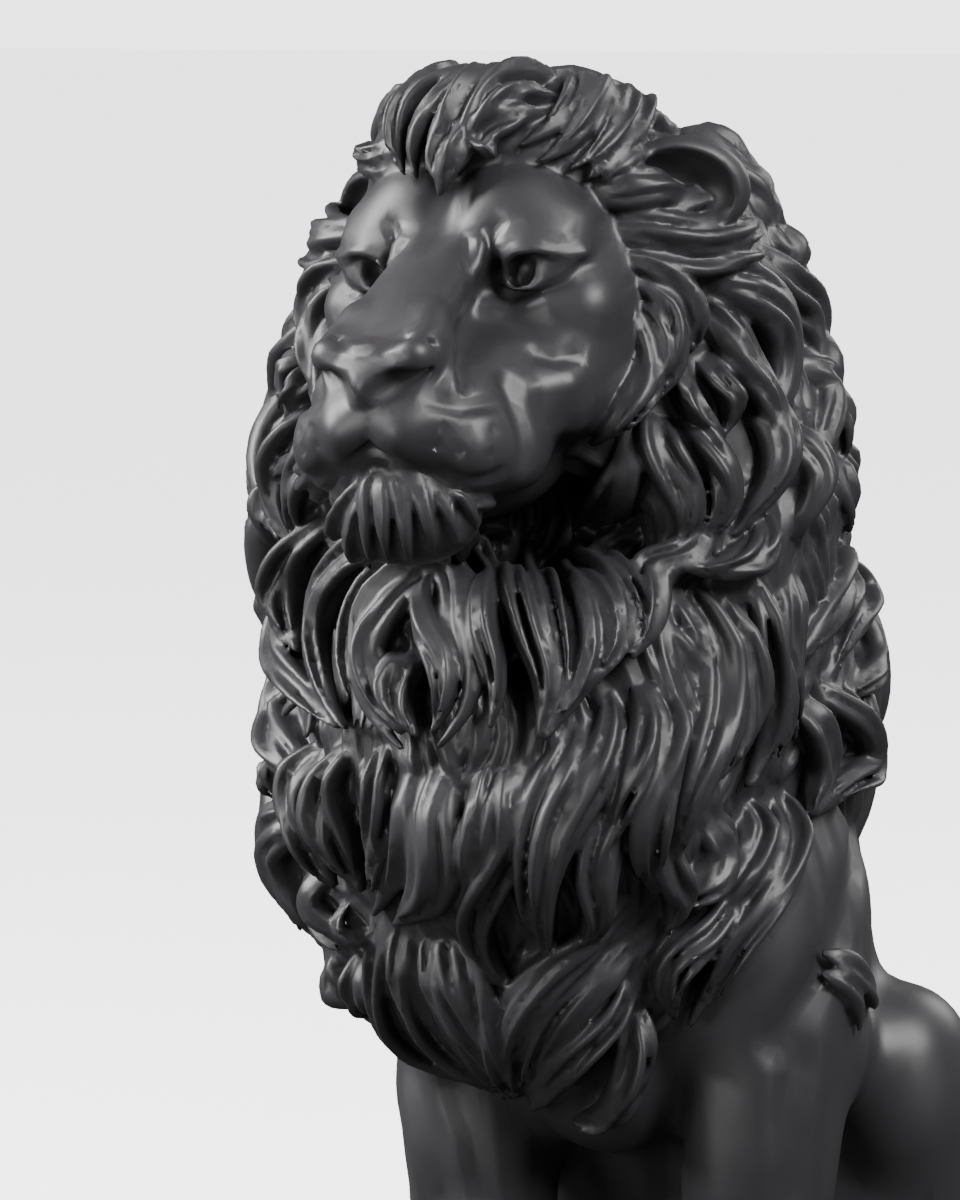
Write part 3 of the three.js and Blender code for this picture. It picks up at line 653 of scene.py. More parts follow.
# Tiers of locks. Each row is where it grows, from and to, its count, then its locks' length, width and
# depth, and how proud their tips stand. A collar grows round the neck at a height, a ring round the face
# at a set back, both between angles, and the brow across the forehead between millimetres.
tiers = {
    "collar": [
        (246, -46, 36, 8, 62, 26, 8, 0.3), (274, -78, 66, 13, 84, 28, 9, 0.3),
        (306, -112, 104, 19, 100, 32, 10, 0.2), (338, -165, 165, 26, 110, 34, 10, 0.2),
        (366, -82, 88, 15, 92, 28, 11, 0.2), (388, 95, 265, 13, 112, 36, 9, 0.1),
        (412, -62, 66, 17, 96, 25, 11, 0.8), (436, -44, 50, 12, 84, 22, 10, 0.6),
        (440, 85, 275, 15, 120, 38, 11, 0.2), (476, 85, 275, 15, 110, 34, 10, 0.1),
        (510, 85, 275, 13, 104, 32, 9, 0.1), (532, 70, 290, 12, 90, 28, 8, 0.1),
    ],
    "ring": [
        (92, 10, 170, 11, 105, 34, 8, 0), (62, -55, 235, 21, 112, 32, 9, 0.1),
        (32, -100, 280, 28, 92, 27, 9, 0.2), (4, -70, 250, 31, 62, 19, 7, 0),
    ],
    "brow": [(0, -44, 44, 13, 50, 15, 7, 0.2)],
}

lockShape = {
    "stations": 24,
    "widths": [0.3, 0.72, 0.95, 1, 1, 0.92, 0.76, 0.5, 0.12],
    "depths": [0.5, 0.85, 1, 1, 1, 0.95, 0.8, 0.6, 0.3],
    "lifts": [-0.9, -0.4, 0, 0.15, 0.25, 0.25, 0.2, 0.1, 0],
    "lengthSpread": (0.85, 1.15), "widthSpread": (0.88, 1.12), "sway": (0.4, 0.8), "curl": (-0.8, 0.8),
    "strands": 6, "earSpot": (66, -14, -2), "earClearance": 24, "seed": 7,  # tiers keep clear of the ears
}


def maneLocks():
    origins, directions, facts = [], [], []
    rows = [(kind, row) for kind, group in tiers.items() for row in group]
    for number, (kind, (level, start, end, count, length, width, depth, proud)) in enumerate(rows):
        for i in range(count):
            seed = number * 31 + i
            place = mix(start, end, i / (count - 1)) + 3 * (chance(seed) - 0.5)
            if kind == "brow":
                origin, direction = browRoot(place)
            elif kind == "ring":
                origin, direction = ringRoot(place, level)
            else:
                origin, direction = collarRoot(place, level + 8 * (chance(seed + 7) - 0.5))
            origins.append(origin)
            directions.append(direction)
            facts.append([
                length * mix(*lockShape["lengthSpread"], chance(seed + 3)),
                width * mix(*lockShape["widthSpread"], chance(seed + 5)),
                depth * mix(*lockShape["lengthSpread"], chance(seed + 9)),
                mix(*lockShape["sway"], chance(seed + 11)), 0.31 * number + 0.3 * chance(seed + 13),
                mix(*lockShape["curl"], chance(seed + 17)), proud,
            ])
    return surfaceAt(maneForm, np.array(origins), np.array(directions)), np.array(facts)


# What each point of a guide carries: its place, side, outward way, half width, depth and station.
def marked(points, side, normal, width, depth, proud, t):
    spine = points + normal * depth * (along(lockShape["lifts"], t) + proud * t * t)
    return np.concatenate([spine, side, normal, 0.5 * width * along(lockShape["widths"], t),
                           depth * along(lockShape["depths"], t), np.ones_like(depth) * t], axis=-1)


# The guides of all tiers, followed at once over a form.
def tracedGuides(form, run, roots, facts):
    count = lockShape["stations"]
    length, width, depth, sway, phase, curl, proud = [column[:, None] for column in facts.T]
    stride = length / (count - 1)
    point = roots.copy()
    rows = []
    for i in range(count):
        t = i / (count - 1)
        normal = slopeOf(form, point)
        way = run(point, normal)
        side = unit(np.cross(way, normal))
        way = unit(way + side * (sway * np.cos(2 * np.pi * (t * 0.9 + phase)) + curl * t * t))
        rows.append(marked(point, unit(np.cross(way, normal)), normal, width, depth, proud, t))
        point = point + way * stride
        point -= slopeOf(form, point) * form(point)[:, None]
    return np.stack(rows, axis=1)  # locks, stations, values


# Locks drawn one by one as they show from the viewpoint. Each is its width and then points from root to
# tip, across and down a picture of 960 by 1200. `proud` lifts the tips of a group off the one below.
drawnLocks = {
    "bib": {"strands": 5, "depth": 11, "proud": 0.3, "locks": [
        (34, 632, 1055, 622, 1085, 600, 1106, 575, 1112), (45, 630, 995, 635, 1030, 620, 1080, 590, 1115),
        (45, 635, 960, 615, 1000, 580, 1030, 555, 1065, 538, 1098),
        (50, 650, 915, 620, 950, 580, 980, 550, 1020, 528, 1085),
        (50, 650, 895, 610, 915, 560, 945, 530, 980, 515, 1030, 523, 1085),
        (45, 465, 915, 490, 960, 505, 1005, 515, 1055, 523, 1085),
        (60, 435, 915, 445, 950, 465, 990, 495, 1040, 520, 1085),
        (45, 405, 905, 405, 940, 420, 980, 455, 1025, 500, 1065, 520, 1088),
        (45, 375, 885, 390, 930, 390, 970, 420, 1020, 470, 1055, 515, 1088),
        (50, 700, 805, 710, 840, 690, 875, 655, 900),
        (50, 760, 870, 720, 915, 670, 940, 655, 975, 668, 1012),
        (50, 770, 770, 790, 810, 785, 855, 755, 910, 715, 955, 700, 995, 682, 1018),
        (50, 745, 790, 750, 830, 740, 870, 695, 915),
    ]},
    "leftFlank": {"strands": 4, "depth": 11, "proud": 0.3, "locks": [
        (35, 360, 940, 375, 970, 392, 1015), (40, 325, 945, 345, 980, 380, 1005),
        (30, 345, 895, 360, 920, 385, 935), (40, 335, 860, 325, 890, 345, 920, 375, 945),
        (45, 320, 810, 295, 840, 300, 890, 330, 940),
        (45, 310, 800, 280, 820, 270, 855, 285, 910, 315, 950),
    ]},
    "middle": {"strands": 4, "depth": 12, "proud": 0.5, "locks": [
        (45, 330, 735, 320, 780, 330, 830, 350, 880), (50, 352, 730, 345, 780, 360, 840, 378, 882),
        (35, 380, 730, 395, 780, 395, 830, 385, 878),
        (40, 410, 740, 415, 790, 420, 840, 400, 880, 388, 905),
        (60, 450, 745, 442, 800, 455, 850, 440, 890, 405, 915),
        (35, 487, 750, 487, 800, 480, 850, 473, 890), (45, 508, 750, 507, 800, 495, 845, 473, 895),
        (50, 540, 735, 530, 780, 515, 830, 485, 880, 480, 915, 500, 960, 523, 988),
        (45, 580, 710, 578, 750, 545, 790, 535, 840, 535, 895, 548, 935),
        (50, 612, 680, 612, 730, 590, 775, 550, 825, 540, 875, 548, 925, 552, 955),
        (40, 632, 670, 642, 700, 640, 740, 612, 790, 600, 840),
        (55, 652, 665, 665, 705, 660, 740, 635, 790, 630, 840, 645, 882),
        (55, 682, 570, 700, 610, 710, 655, 710, 705, 680, 770, 660, 820, 653, 862),
        (45, 715, 575, 725, 620, 730, 670, 725, 720, 703, 775),
        (45, 750, 550, 760, 595, 750, 645, 752, 690, 755, 730, 730, 782),
        (45, 785, 545, 775, 600, 770, 650, 772, 695, 778, 735),
        (50, 640, 780, 606, 815, 588, 860, 596, 905, 574, 945),
        (40, 668, 800, 650, 850, 668, 895, 655, 925), (45, 785, 690, 805, 740, 802, 780, 795, 822),
        (50, 805, 670, 830, 705, 842, 740, 830, 780, 800, 822),
    ]},
    "leftEdge": {"strands": 4, "depth": 11, "proud": 0.1, "behind": (6, 6), "locks": [
        (25, 278, 750, 270, 780, 287, 800), (45, 310, 665, 295, 690, 300, 740, 325, 775, 335, 820),
        (45, 298, 640, 275, 670, 272, 710, 285, 750, 315, 787), (30, 297, 592, 277, 615, 287, 648),
        (35, 287, 550, 262, 580, 262, 615, 277, 648), (35, 255, 545, 243, 580, 252, 625, 272, 668),
    ]},
    "rightEdge": {"strands": 4, "depth": 11, "proud": 0.1, "behind": (8, 8), "locks": [
        (45, 865, 565, 868, 615, 855, 665, 828, 705), (45, 850, 555, 842, 615, 818, 650, 815, 690),
        (50, 830, 535, 820, 600, 788, 645, 765, 685), (35, 834, 445, 845, 485, 850, 535),
        (45, 775, 410, 793, 450, 797, 495, 782, 545), (35, 845, 355, 855, 395, 848, 431, 836, 462),
        (45, 779, 345, 806, 385, 815, 431, 806, 480), (50, 775, 292, 806, 335, 825, 385, 829, 435),
        (45, 747, 229, 765, 276, 802, 313, 825, 358, 830, 390),
        (40, 752, 220, 775, 258, 806, 280, 828, 310, 843, 352), (40, 765, 229, 793, 240, 828, 269),
        (45, 720, 124, 752, 143, 775, 176, 795, 215), (40, 743, 124, 770, 158, 790, 195, 812, 237),
        (40, 690, 100, 730, 120, 762, 150, 785, 185),
    ]},
    "beard": {"strands": 4, "depth": 12, "proud": 0.9, "locks": [
        (45, 295, 550, 300, 610, 310, 655, 335, 695, 370, 727),
        (45, 335, 505, 310, 560, 315, 610, 327, 655),
        (45, 362, 550, 337, 590, 335, 645, 350, 695, 376, 728),
        (45, 395, 560, 380, 625, 375, 670, 395, 720, 422, 746),
        (40, 427, 565, 420, 605, 395, 645, 397, 690, 422, 733),
        (40, 422, 575, 435, 625, 460, 655, 465, 695, 450, 732),
        (50, 442, 555, 447, 600, 470, 635, 503, 665, 505, 700, 482, 735, 455, 744),
        (38, 428, 640, 414, 675, 418, 708, 436, 735), (35, 470, 535, 465, 580, 490, 615, 505, 650),
        (45, 478, 550, 474, 600, 492, 645, 512, 690, 498, 728),
        (50, 500, 530, 495, 580, 510, 625, 545, 660, 550, 700, 540, 736),
        (45, 530, 505, 520, 560, 525, 605, 550, 640, 565, 680, 550, 732),
        (50, 562, 535, 555, 580, 580, 620, 590, 665, 567, 705, 546, 737),
        (50, 608, 500, 580, 545, 590, 585, 615, 620, 610, 660, 580, 697),
        (45, 645, 505, 620, 550, 615, 590, 635, 625, 620, 667),
        (50, 700, 500, 690, 555, 662, 580, 645, 620, 622, 665),
        (45, 765, 500, 760, 535, 722, 560, 682, 577),
    ]},
    "leftRuff": {"strands": 4, "depth": 10, "proud": 0, "behind": (0, 6), "locks": [
        (35, 318, 476, 306, 504, 311, 545), (40, 311, 463, 279, 481, 270, 513, 288, 548),
        (45, 261, 463, 242, 495, 249, 526, 275, 547),
    ]},
    "cheekRuff": {"strands": 4, "depth": 10, "proud": 0.3, "bothCheeks": True, "locks": [
        (45, 643, 435, 620, 476, 587, 513, 581, 549),
        (45, 679, 404, 684, 431, 713, 467, 718, 504, 697, 542),
        (50, 656, 399, 645, 440, 675, 476, 691, 513, 682, 551),
        (40, 643, 413, 625, 440, 629, 476, 611, 508, 599, 542),
        (45, 729, 376, 756, 404, 765, 449, 756, 495, 727, 533),
        (50, 693, 290, 715, 322, 728, 358, 752, 395, 765, 430, 765, 480),
        (60, 684, 274, 720, 285, 756, 313, 775, 354, 773, 395, 765, 433),
        (30, 679, 352, 677, 395, 697, 422, 721, 441), (30, 697, 345, 711, 376, 722, 404, 718, 437),
        (35, 620, 252, 647, 267, 676, 295, 682, 331, 675, 362),
        (35, 629, 270, 654, 295, 663, 331, 647, 372, 620, 406),
        (30, 634, 292, 645, 322, 640, 358, 615, 395, 586, 436),
    ]},
    "temple": {"strands": 4, "depth": 10, "proud": 0.3, "bothCheeks": True, "locks": [
        (40, 629, 240, 665, 261, 711, 263, 752, 258),
        (50, 606, 220, 638, 235, 675, 245, 711, 240, 750, 231),
    ]},
    "earLocks": {"strands": 4, "depth": 10, "proud": 0.3, "locks": [
        (35, 675, 111, 643, 106, 615, 126, 597, 154, 584, 176),
        (30, 711, 129, 675, 131, 647, 126, 620, 140, 588, 181),
        (30, 652, 154, 629, 154, 611, 167, 595, 185), (40, 620, 204, 652, 217, 697, 214, 744, 223),
        (40, 588, 188, 611, 190, 643, 199, 682, 201),
    ]},
    "crown": {"strands": 4, "depth": 9, "proud": 0.2, "behind": (20, 0), "locks": [
        (28, 474, 90, 444, 96, 420, 110, 406, 132, 402, 158, 408, 178),
        (28, 482, 98, 466, 114, 452, 134, 440, 156, 430, 176),
        (30, 480, 92, 456, 104, 436, 122, 422, 144, 416, 166, 420, 182),
        (36, 580, 86, 574, 108, 556, 130, 520, 150), (38, 608, 86, 590, 108, 578, 134, 560, 156, 538, 166),
        (34, 636, 98, 612, 112, 598, 138, 588, 160, 564, 174),
        (30, 648, 112, 624, 124, 608, 144, 598, 166, 582, 182),
    ]},
    "quiff": {"strands": 4, "depth": 9, "proud": 0.2, "locks": [
        (34, 450, 178, 456, 146, 472, 114, 500, 92, 534, 86, 566, 92),
        (34, 462, 168, 474, 140, 496, 116, 526, 104, 556, 104),
        (32, 476, 160, 492, 138, 516, 124, 544, 120), (30, 604, 120, 640, 110, 674, 118, 704, 138),
    ]},
    "forelock": {"strands": 4, "depth": 8, "proud": 1, "locks": [
        (24, 486, 138, 492, 156, 502, 170), (32, 474, 116, 472, 140, 464, 166, 454, 190),
        (36, 458, 112, 454, 145, 450, 175, 444, 202),
    ]},
    "crest": {"strands": 4, "depth": 7, "proud": 0.2, "locks": [
        (45, 500, 84, 545, 80, 600, 84, 652, 100, 697, 122),
        (45, 530, 92, 580, 92, 625, 98, 670, 116, 706, 140),
    ]},
    "chin": {"strands": 2, "depth": 2.6, "proud": 0.5, "locks": [
        (15, 362, 461, 343, 478, 334, 505, 333, 535), (16, 367, 460, 350, 482, 344, 515, 345, 548),
        (16, 373, 460, 361, 485, 357, 520, 360, 556), (16, 379, 459, 372, 487, 371, 522, 374, 560),
        (16, 384, 460, 386, 487, 388, 524, 391, 561), (16, 389, 461, 400, 486, 407, 522, 410, 559),
        (17, 394, 462, 413, 485, 427, 517, 433, 552), (17, 400, 464, 427, 485, 446, 512, 455, 541),
        (17, 407, 467, 441, 486, 462, 506, 473, 527), (16, 412, 470, 450, 488, 472, 500, 485, 510),
    ]},
    "elbow": {"strands": 4, "depth": 3, "proud": 0.8, "locks": [
        (28, 824, 952, 845, 963, 858, 984, 868, 1008), (26, 826, 972, 842, 988, 852, 1010, 850, 1032),
    ]},
}


def faceInPlace(points):
    return faceForm(toHead(points))


# What the drawn locks lie on: the mane, the chest, the near foreleg's top and the face.
hairForm = blended([(maneForm, 1), (torso()[1][0], 20), *foreleg(1)[:3], (faceInPlace, 10)])


# The guides of one group of drawn locks. `behind` leads their roots and tips away from the viewer, and
# with `bothCheeks` the same locks grow on the other side of the face.
def drawnGuides(form, group):
    count, ahead = lockShape["stations"], np.array(viewFrame()[2])
    paths, facts = [], []
    for width, *corners in group["locks"]:
        paths.append(eased(corners, count))
        facts.append((width / viewpoint["pixelsPerMetre"] / millimetre, group["depth"], group["proud"]))
    points = seenAt(form, np.concatenate(paths)).reshape(len(paths), count, 3)
    rootBack, tipBack = group.get("behind", (0, 0))
    roots, tips = points[:, :1] + ahead * rootBack, points[:, -1:] + ahead * tipBack
    points = np.stack([spaced(path, count) for path in np.concatenate([roots, points, tips], axis=1)])
    for _ in range(3):
        points = settled(form, points)
        for _ in range(4):
            points[:, 1:-1] = (points[:, :-2] + 2 * points[:, 1:-1] + points[:, 2:]) / 4
        points = np.stack([spaced(path, count) for path in points])
    points = settled(form, points)
    if "bothCheeks" in group:
        points = np.concatenate([points, settled(form, fromHead(toHead(points) * (-1, 1, 1)))])
        facts = facts * 2
    width, depth, proud = [column[:, None, None] for column in np.array(facts).T]
    t = np.linspace(0, 1, count)[None, :, None]
    normal = slopeOf(form, points)
    side = unit(np.cross(np.gradient(points, axis=1), normal))
    return marked(points, side, normal, width, depth, proud, t)


# How far tiers of locks are pressed down next to drawn ones, within millimetres of them, and further
# round them on the side that faces the viewer.
pressing = {
    "next": 0.7, "nextWithin": (8, 20),
    "facing": 0.6, "facingWithin": (16, 32), "facingFrom": (-0.2, 0.4),
}


def pressed(guides, over):
    toViewer = -np.array(viewFrame()[2])
    over = over[:, ::2, :3].reshape(-1, 3).astype(np.float32)
    for guide in guides:
        gaps = np.linalg.norm(guide[:, None, :3].astype(np.float32) - over, axis=2).min(axis=1)[:, None]
        facing = smoothstep(guide[:, 6:9] @ toViewer, *pressing["facingFrom"])[:, None]
        share = np.maximum(pressing["next"] * (1 - smoothstep(gaps, *pressing["nextWithin"])),
                           pressing["facing"] * facing * (1 - smoothstep(gaps, *pressing["facingWithin"])))
        guide[:, :3] -= guide[:, 6:9] * guide[:, 10:11] * share
        guide[:, 10:11] *= 1 - share
    return guides


def guideObject(name, guides):
    locks, stations, values = guides.shape
    flat = guides.reshape(-1, values)
    data = bpy.data.meshes.new(name)
    starts = [lock * stations + i for lock in range(locks) for i in range(stations - 1)]
    data.from_pydata((flat[:, :3] * millimetre).tolist(), [(start, start + 1) for start in starts], [])
    vectors = {"spine": flat[:, :3] * millimetre, "side": flat[:, 3:6], "outward": flat[:, 6:9]}
    numbers = {"halfWidth": flat[:, 9] * millimetre, "depth": flat[:, 10] * millimetre,
               "station": flat[:, 11], "lock": np.repeat(np.arange(locks), stations).astype(float)}
    for marks, kind, slot in ((vectors, "FLOAT_VECTOR", "vector"), (numbers, "FLOAT", "value")):
        for key, values in marks.items():
            mark = data.attributes.new(key, kind, "POINT")
            mark.data.foreach_set(slot, values.astype(np.float32).ravel())
    return linked(name, data)


# Geometry Nodes: locks swept along guides

def newTree(name, inputs):
    tree = bpy.data.node_groups.new(name, "GeometryNodeTree")
    tree.is_modifier = True
    tree.interface.new_socket("Geometry", in_out="INPUT", socket_type="NodeSocketGeometry")
    for label, kind, value in inputs:
        socket = tree.interface.new_socket(label, in_out="INPUT", socket_type=kind)
        if value is not None:
            socket.default_value = value
    tree.interface.new_socket("Geometry", in_out="OUTPUT", socket_type="NodeSocketGeometry")
    return tree, tree.nodes.new("NodeGroupInput").outputs


def node(tree, kind, links=(), **settings):
    made = tree.nodes.new(kind)
    for key, value in settings.items():
        setattr(made, key, value)
    for socket, source in dict(links).items():
        if isinstance(source, bpy.types.NodeSocket):
            tree.links.new(source, made.inputs[socket])
        else:
            made.inputs[socket].default_value = source
    return made


def endTree(tree, geometry, material):
    realized = node(tree, "GeometryNodeRealizeInstances", {0: geometry}).outputs[0]
    painted = node(tree, "GeometryNodeSetMaterial", {"Geometry": realized, "Material": material})
    node(tree, "NodeGroupOutput", {0: painted.outputs[0]})


# Each guide becomes a lock: a flat core with round strands side by side on it, which wander along
# the lock, rise and sink, end at different lengths and meet at the tip.
def lockTree():
    tree, given = newTree("Locks", [
        ("Strands", "NodeSocketInt", 5), ("Columns", "NodeSocketInt", 10),
        ("Fullness", "NodeSocketFloat", 1.15), ("Wander", "NodeSocketFloat", 0.12),
        ("Weave", "NodeSocketFloat", 0.2), ("Splay", "NodeSocketFloat", 0.12),
        ("Core", "NodeSocketFloat", 0.8), ("Ridge", "NodeSocketFloat", 1.7),
        ("Seed", "NodeSocketInt", 7), ("Material", "NodeSocketMaterial", None),
    ])

    def maths(operation, *values):
        return node(tree, "ShaderNodeMath", dict(enumerate(values)), operation=operation).outputs[0]

    def plus(*values):
        return reduce(lambda total, value: maths("ADD", total, value), values)

    def times(*values):
        return reduce(lambda total, value: maths("MULTIPLY", total, value), values)

    def vector(operation, first, slot, second):
        return node(tree, "ShaderNodeVectorMath", {0: first, slot: second}, operation=operation).outputs[0]

    def named(name, kind="FLOAT"):
        return node(tree, "GeometryNodeInputNamedAttribute", {"Name": name}, data_type=kind).outputs[0]

    def drawn(low, high, shift):
        made = node(tree, "FunctionNodeRandomValue", {
            2: low, 3: high, "ID": plus(times(named("lock"), 32), named("strand")),
            "Seed": plus(given["Seed"], shift)})
        return made.outputs[1]

    def wave(turns, shift):
        phase = plus(times(named("station"), turns), drawn(0.0, 1.0, shift))
        return maths("SINE", times(phase, 2 * math.pi))

    def either(isFirst, first, second):
        choice = {"Factor": isFirst, "A": second, "B": first}
        return node(tree, "ShaderNodeMix", choice, data_type="FLOAT").outputs[0]

    def store(geometry, name, value):
        marks = {"Geometry": geometry, "Name": name, "Value": value}
        made = node(tree, "GeometryNodeStoreNamedAttribute", marks, data_type="FLOAT", domain="POINT")
        return made.outputs[0]

    guides = node(tree, "GeometryNodeMeshToCurve", {0: given["Geometry"]})
    copies = node(tree, "GeometryNodeDuplicateElements", {
        "Geometry": guides.outputs[0], "Amount": plus(given["Strands"], 1)}, domain="SPLINE")
    copies = store(copies.outputs[0], "strand", copies.outputs[1])
    ring = node(tree, "GeometryNodeCurvePrimitiveCircle", {
        "Resolution": given["Columns"], "Radius": millimetre}, mode="RADIUS")
    index = node(tree, "GeometryNodeInputIndex").outputs[0]
    turn = times(maths("DIVIDE", index, given["Columns"]), 2 * math.pi)
    ring = store(ring.outputs[0], "turn", turn)
    swept = node(tree, "GeometryNodeCurveToMesh", {
        "Curve": copies, "Profile Curve": ring, "Fill Caps": True})

    strands = given["Strands"]
    strand, station, halfWidth, depth = [named(name) for name in ("strand", "station", "halfWidth", "depth")]
    isCore = maths("GREATER_THAN", strand, maths("SUBTRACT", strands, 0.5))
    spread = times(maths("SUBTRACT", maths("DIVIDE", plus(strand, 0.5), strands), 0.5), 1.7)
    centre = plus(spread, maths("DIVIDE", drawn(-0.3, 0.3, 1), strands))
    reach = maths("MINIMUM", maths("DIVIDE", station, either(isCore, 1.0, drawn(0.88, 1.0, 2))), 1)
    swell = times(maths("POWER", maths("MINIMUM", times(reach, 8), 1), 0.5),
                  maths("POWER", maths("SUBTRACT", 1, maths("POWER", reach, 4)), 0.7))
    girth = times(maths("DIVIDE", halfWidth, strands), given["Fullness"], drawn(0.82, 1.2, 3), swell)
    aside = times(halfWidth, plus(centre, times(wave(1.2, 4), given["Wander"]),
                                  times(drawn(-1.0, 1.0, 5), given["Splay"], maths("POWER", station, 3))))
    dome = maths("POWER", maths("MAXIMUM", maths("SUBTRACT", 1, times(centre, centre)), 0), 0.8)
    raised = times(depth, plus(times(dome, 0.6), drawn(-0.2, 0.2, 6), times(wave(1.0, 7), given["Weave"])))
    wide = either(isCore, times(halfWidth, given["Core"]), girth)
    across = plus(either(isCore, 0.0, aside), times(wide, maths("COSINE", named("turn"))))
    tall = either(isCore, times(depth, 0.45), times(girth, given["Ridge"]))
    out = plus(either(isCore, 0.0, raised), times(tall, maths("SINE", named("turn"))))
    sideways = vector("SCALE", named("side", "FLOAT_VECTOR"), "Scale", across)
    outwards = vector("SCALE", named("outward", "FLOAT_VECTOR"), "Scale", out)
    place = vector("ADD", vector("ADD", sideways, 1, outwards), 1, named("spine", "FLOAT_VECTOR"))
    shaped = node(tree, "GeometryNodeSetPosition", {"Geometry": swept.outputs[0], "Position": place})
    endTree(tree, shaped.outputs[0], given["Material"])
    return tree


def withTree(piece, tree, **values):
    modifier = piece.modifiers.new(tree.name, "NODES")
    modifier.node_group = tree
    for item in tree.interface.items_tree:
        key = item.name[0].lower() + item.name[1:].replace(" ", "")
        if item.in_out == "INPUT" and key in values:
            modifier[item.identifier] = values[key]
    piece.update_tag()
    return bake(piece)


# Skins

skins = {  # the box that a form is traced in and its cell, in millimetres, and its triangles
    "body": ((-145, -150, 12), (135, 150, 560), 2.0, 26000),
    "head": ((-72, -142, -142), (72, 60, 40), 0.9, 60000),
    "leftEar": ((32, -36, -32), (100, 22, 28), 0.9, 5000),
    "rightEar": ((-100, -36, -32), (-32, 22, 28), 0.9, 5000),
}


def madeBase():
    shape = bmesh.new()
    half, long, corner = lion["baseWidth"] / 2, lion["baseLength"] / 2, lion["baseCorner"]
    outline, steps = [], 24
    for quarter, (x, y) in enumerate([(1, 1), (-1, 1), (-1, -1), (1, -1)]):
        for i in range(steps + 1):
            a = math.radians(90 * quarter + 90 * i / steps)
            outline.append((x * (half - corner) + corner * math.cos(a),
                            y * (long - corner) + corner * math.sin(a)))
    corners = [shape.verts.new((x * millimetre, y * millimetre, 0)) for x, y in outline]
    sole = shape.faces.new(corners)
    raised = bmesh.ops.extrude_face_region(shape, geom=[sole])["geom"]
    lifted = [piece for piece in raised if isinstance(piece, bmesh.types.BMVert)]
    bmesh.ops.translate(shape, verts=lifted, vec=(0, 0, lion["baseHeight"] * millimetre))
    bmesh.ops.recalc_face_normals(shape, faces=shape.faces[:])
    rim = [edge for edge in shape.edges if abs(edge.verts[0].co.z - edge.verts[1].co.z) < 1e-6]
    bevel = lion["baseBevel"] * millimetre
    bmesh.ops.bevel(shape, geom=rim, offset=bevel, segments=4, profile=0.5, affect="EDGES")
    data = bpy.data.meshes.new("base")
    shape.to_mesh(data)
    shape.free()
    return linked("base", data)


def moved(skin, spin, centre):
    data = skin.data
    points = np.empty(len(data.vertices) * 3, np.float32)
    data.vertices.foreach_get("co", points)
    points = points.reshape(-1, 3) @ spin.T + np.array(centre) * millimetre
    data.vertices.foreach_set("co", points.astype(np.float32).ravel())
    data.update()


hairMarks = ["spine", "side", "outward", "halfWidth", "depth", "station", "lock", "strand", "turn"]


def joined(name, pieces):
    whole = bmesh.new()
    for piece in pieces:
        whole.from_mesh(piece.data)
        bpy.data.objects.remove(piece)
    data = bpy.data.meshes.new(name)
    whole.to_mesh(data)
    whole.free()
    for extra in [mark.name for mark in data.attributes if mark.name in hairMarks]:
        data.attributes.remove(data.attributes[extra])
    return linked(name, data)


porcelain = {
    "tint": (0.027, 0.0255, 0.028, 1), "roughness": (0.4, 0.5),
    "mottle": 38, "mottleRange": (0.3, 0.7), "grain": 900, "grainDepth": 0.00004, "grainStrength": 0.5,
}


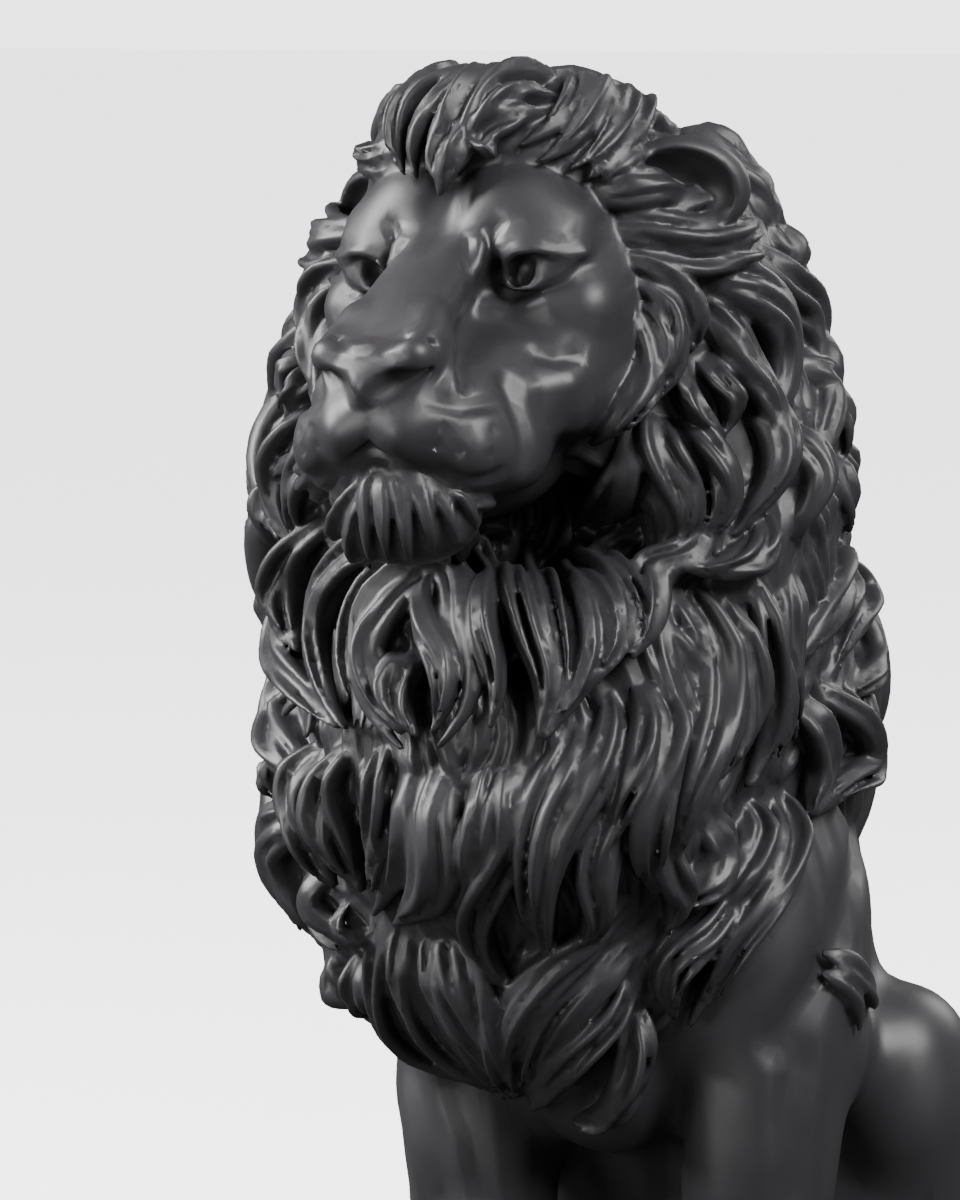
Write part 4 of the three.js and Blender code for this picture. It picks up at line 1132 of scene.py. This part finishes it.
def blackPorcelain():
    paint = bpy.data.materials.new("blackPorcelain")
    paint.use_nodes = True
    tree = paint.node_tree
    shader = tree.nodes["Principled BSDF"]
    shader.inputs["Base Color"].default_value = porcelain["tint"]
    place = node(tree, "ShaderNodeTexCoord").outputs["Object"]
    mottle = node(tree, "ShaderNodeTexNoise", {"Vector": place, "Scale": porcelain["mottle"], "Detail": 5.0})
    (least, most), (low, high) = porcelain["mottleRange"], porcelain["roughness"]
    satin = node(tree, "ShaderNodeMapRange", {
        "Value": mottle.outputs[0], "From Min": least, "From Max": most, "To Min": low, "To Max": high})
    tree.links.new(satin.outputs[0], shader.inputs["Roughness"])
    grain = node(tree, "ShaderNodeTexNoise", {"Vector": place, "Scale": porcelain["grain"], "Detail": 3.0})
    relief = node(tree, "ShaderNodeBump", {
        "Height": grain.outputs[0], "Distance": porcelain["grainDepth"],
        "Strength": porcelain["grainStrength"]})
    tree.links.new(relief.outputs[0], shader.inputs["Normal"])
    return paint


# One cast: every form and lock is fused at the cell's size, then thinned to what a piece may have.
cast = {"cell": 0.9, "triangles": 198000}

finish = blackPorcelain()
body = tracedSkin("body", bodyForm, *skins["body"])
stage("body")
head = tracedSkin("head", headForm, *skins["head"])
ears = [tracedSkin(name, ear(side), *skins[name]) for name, side in (("leftEar", 1), ("rightEar", -1))]
for skin in [head, *ears]:
    moved(skin, headSpin, headCentre)
stage("head")

roots, facts = maneLocks()
strokes = {name: drawnGuides(hairForm, group) for name, group in drawnLocks.items()}
tufts = pressed(tracedGuides(maneForm, flow, roots, facts), np.concatenate(list(strokes.values())))
earMiddles = fromHead(mirrored([lockShape["earSpot"]], 1) + mirrored([lockShape["earSpot"]], -1))
gaps = np.linalg.norm(tufts[:, :, None, :3] - earMiddles, axis=3)
tufts = tufts[np.min(gaps, axis=(1, 2)) > lockShape["earClearance"]]
swept = lockTree()
batches = [("mane", tufts, lockShape["strands"])]
batches += [(name, guides, drawnLocks[name]["strands"]) for name, guides in strokes.items()]
hair = [withTree(guideObject(name, guides), swept, strands=count, seed=lockShape["seed"], material=finish)
        for name, guides, count in batches]
stage("mane")

lionPiece = joined("lion", [body, head, *ears, madeBase(), *hair])
fused = lionPiece.modifiers.new("fused", "REMESH")
fused.mode = "VOXEL"
fused.voxel_size = cast["cell"] * millimetre
bake(lionPiece)
stage("fused")
thinned = lionPiece.modifiers.new("thinned", "DECIMATE")
thinned.ratio = cast["triangles"] / (2 * len(lionPiece.data.polygons))
bake(lionPiece)
lionPiece.data.shade_smooth()
lionPiece.data.materials.clear()
lionPiece.data.materials.append(finish)
stage(f"thinned to {len(lionPiece.data.polygons)} faces")

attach(lionPiece, "root")
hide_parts("lion_figurine")
